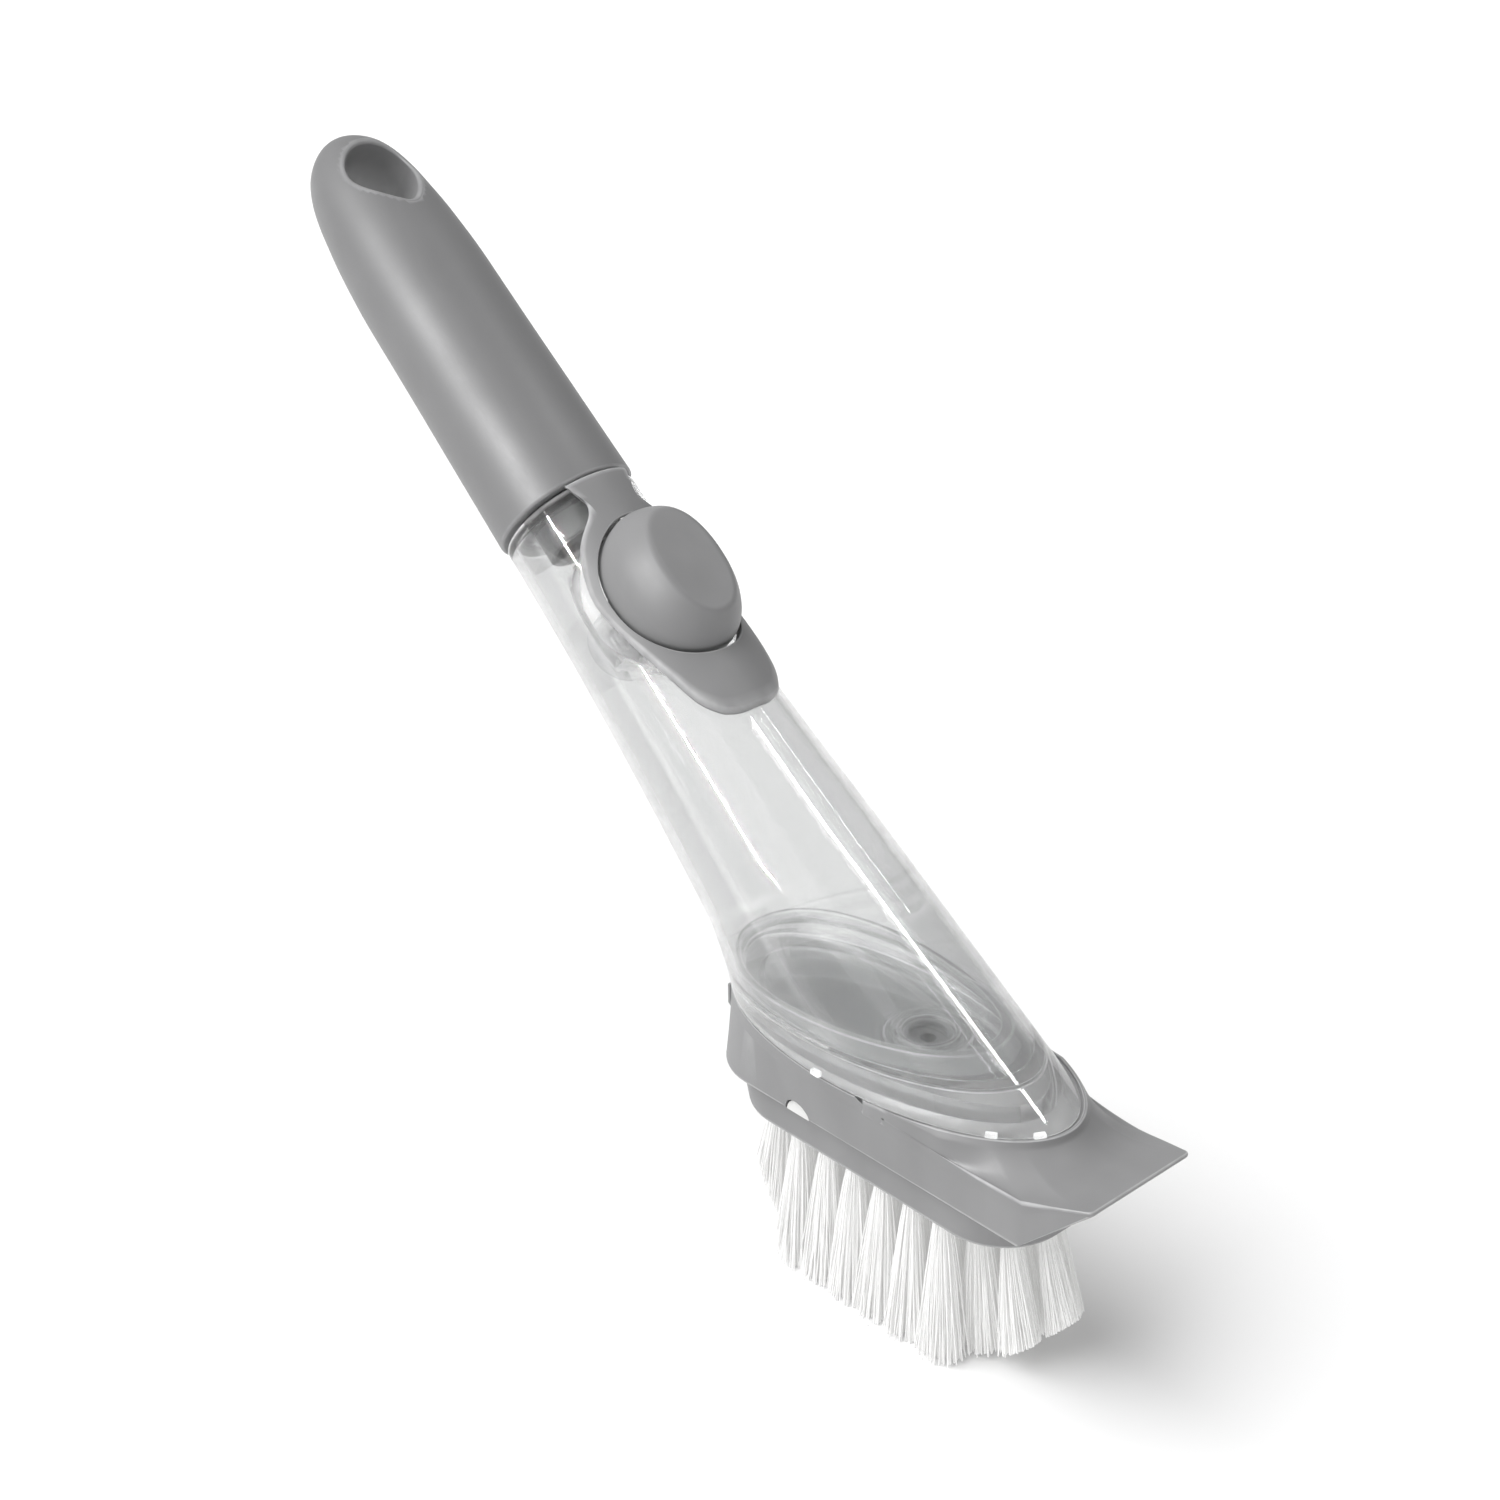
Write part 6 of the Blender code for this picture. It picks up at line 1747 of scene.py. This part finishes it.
class BRUSH_OT_stage(bpy.types.Operator):
    """Build the floor, the light and the camera"""

    bl_idname = "dish_brush.stage"
    bl_label = "Stage"

    def execute(self, context):
        settings = context.scene.dish_brush
        scene = context.scene
        floor = turned("floor", FLOOR_PROFILE, floor_finish(settings), Matrix.Identity(4))
        world = bpy.data.worlds.new("studio")
        world.use_nodes = True
        air = world.node_tree.nodes["Background"]
        air.inputs["Color"].default_value = (*settings.floor_colour, 1.0)
        air.inputs["Strength"].default_value = settings.air_strength
        scene.world = world
        sun = lamp("sun", "SUN", SUN_WAY, settings.sun_strength)
        sun.data.angle = SUN_ANGLE
        sun.visible_glossy = False
        for name, way, size, power in PANEL_LAMPS:
            panel_lamp(name, way, size, power * settings.highlight_strength)
        camera = bpy.data.objects.new("camera", bpy.data.cameras.new("camera"))
        camera.data.lens = CAMERA_LENS
        camera.data.sensor_width = SENSOR_WIDTH
        camera.matrix_world = camera_matrix()
        scene.collection.objects.link(camera)
        scene.camera = camera
        scene.view_settings.view_transform = "Standard"
        return {"FINISHED"}


class BRUSH_PT_panel(bpy.types.Panel):
    """Settings and steps of the dish brush"""

    bl_label = "Dish Brush"
    bl_idname = "BRUSH_PT_panel"
    bl_space_type = "VIEW_3D"
    bl_region_type = "UI"
    bl_category = "Dish Brush"

    def draw(self, context):
        settings = context.scene.dish_brush
        for name in settings.bl_rna.properties.keys():
            if name not in ("rna_type", "name"):
                self.layout.prop(settings, name)
        for step in STEPS:
            self.layout.operator(step.bl_idname)


STEPS = (BRUSH_OT_tank, BRUSH_OT_outlet, BRUSH_OT_collar, BRUSH_OT_pump, BRUSH_OT_grip, BRUSH_OT_head,
         BRUSH_OT_bristles, BRUSH_OT_stage)
CLASSES = (BRUSH_PG_settings, *STEPS, BRUSH_PT_panel)


def register():
    for kind in CLASSES:
        bpy.utils.register_class(kind)
    bpy.types.Scene.dish_brush = bpy.props.PointerProperty(type=BRUSH_PG_settings)


def unregister():
    del bpy.types.Scene.dish_brush
    for kind in reversed(CLASSES):
        bpy.utils.unregister_class(kind)


def main():
    """Build the whole brush."""
    register()
    for step in STEPS:
        getattr(bpy.ops.dish_brush, step.bl_idname.split(".")[1])()


if __name__ == "__main__":
    main()
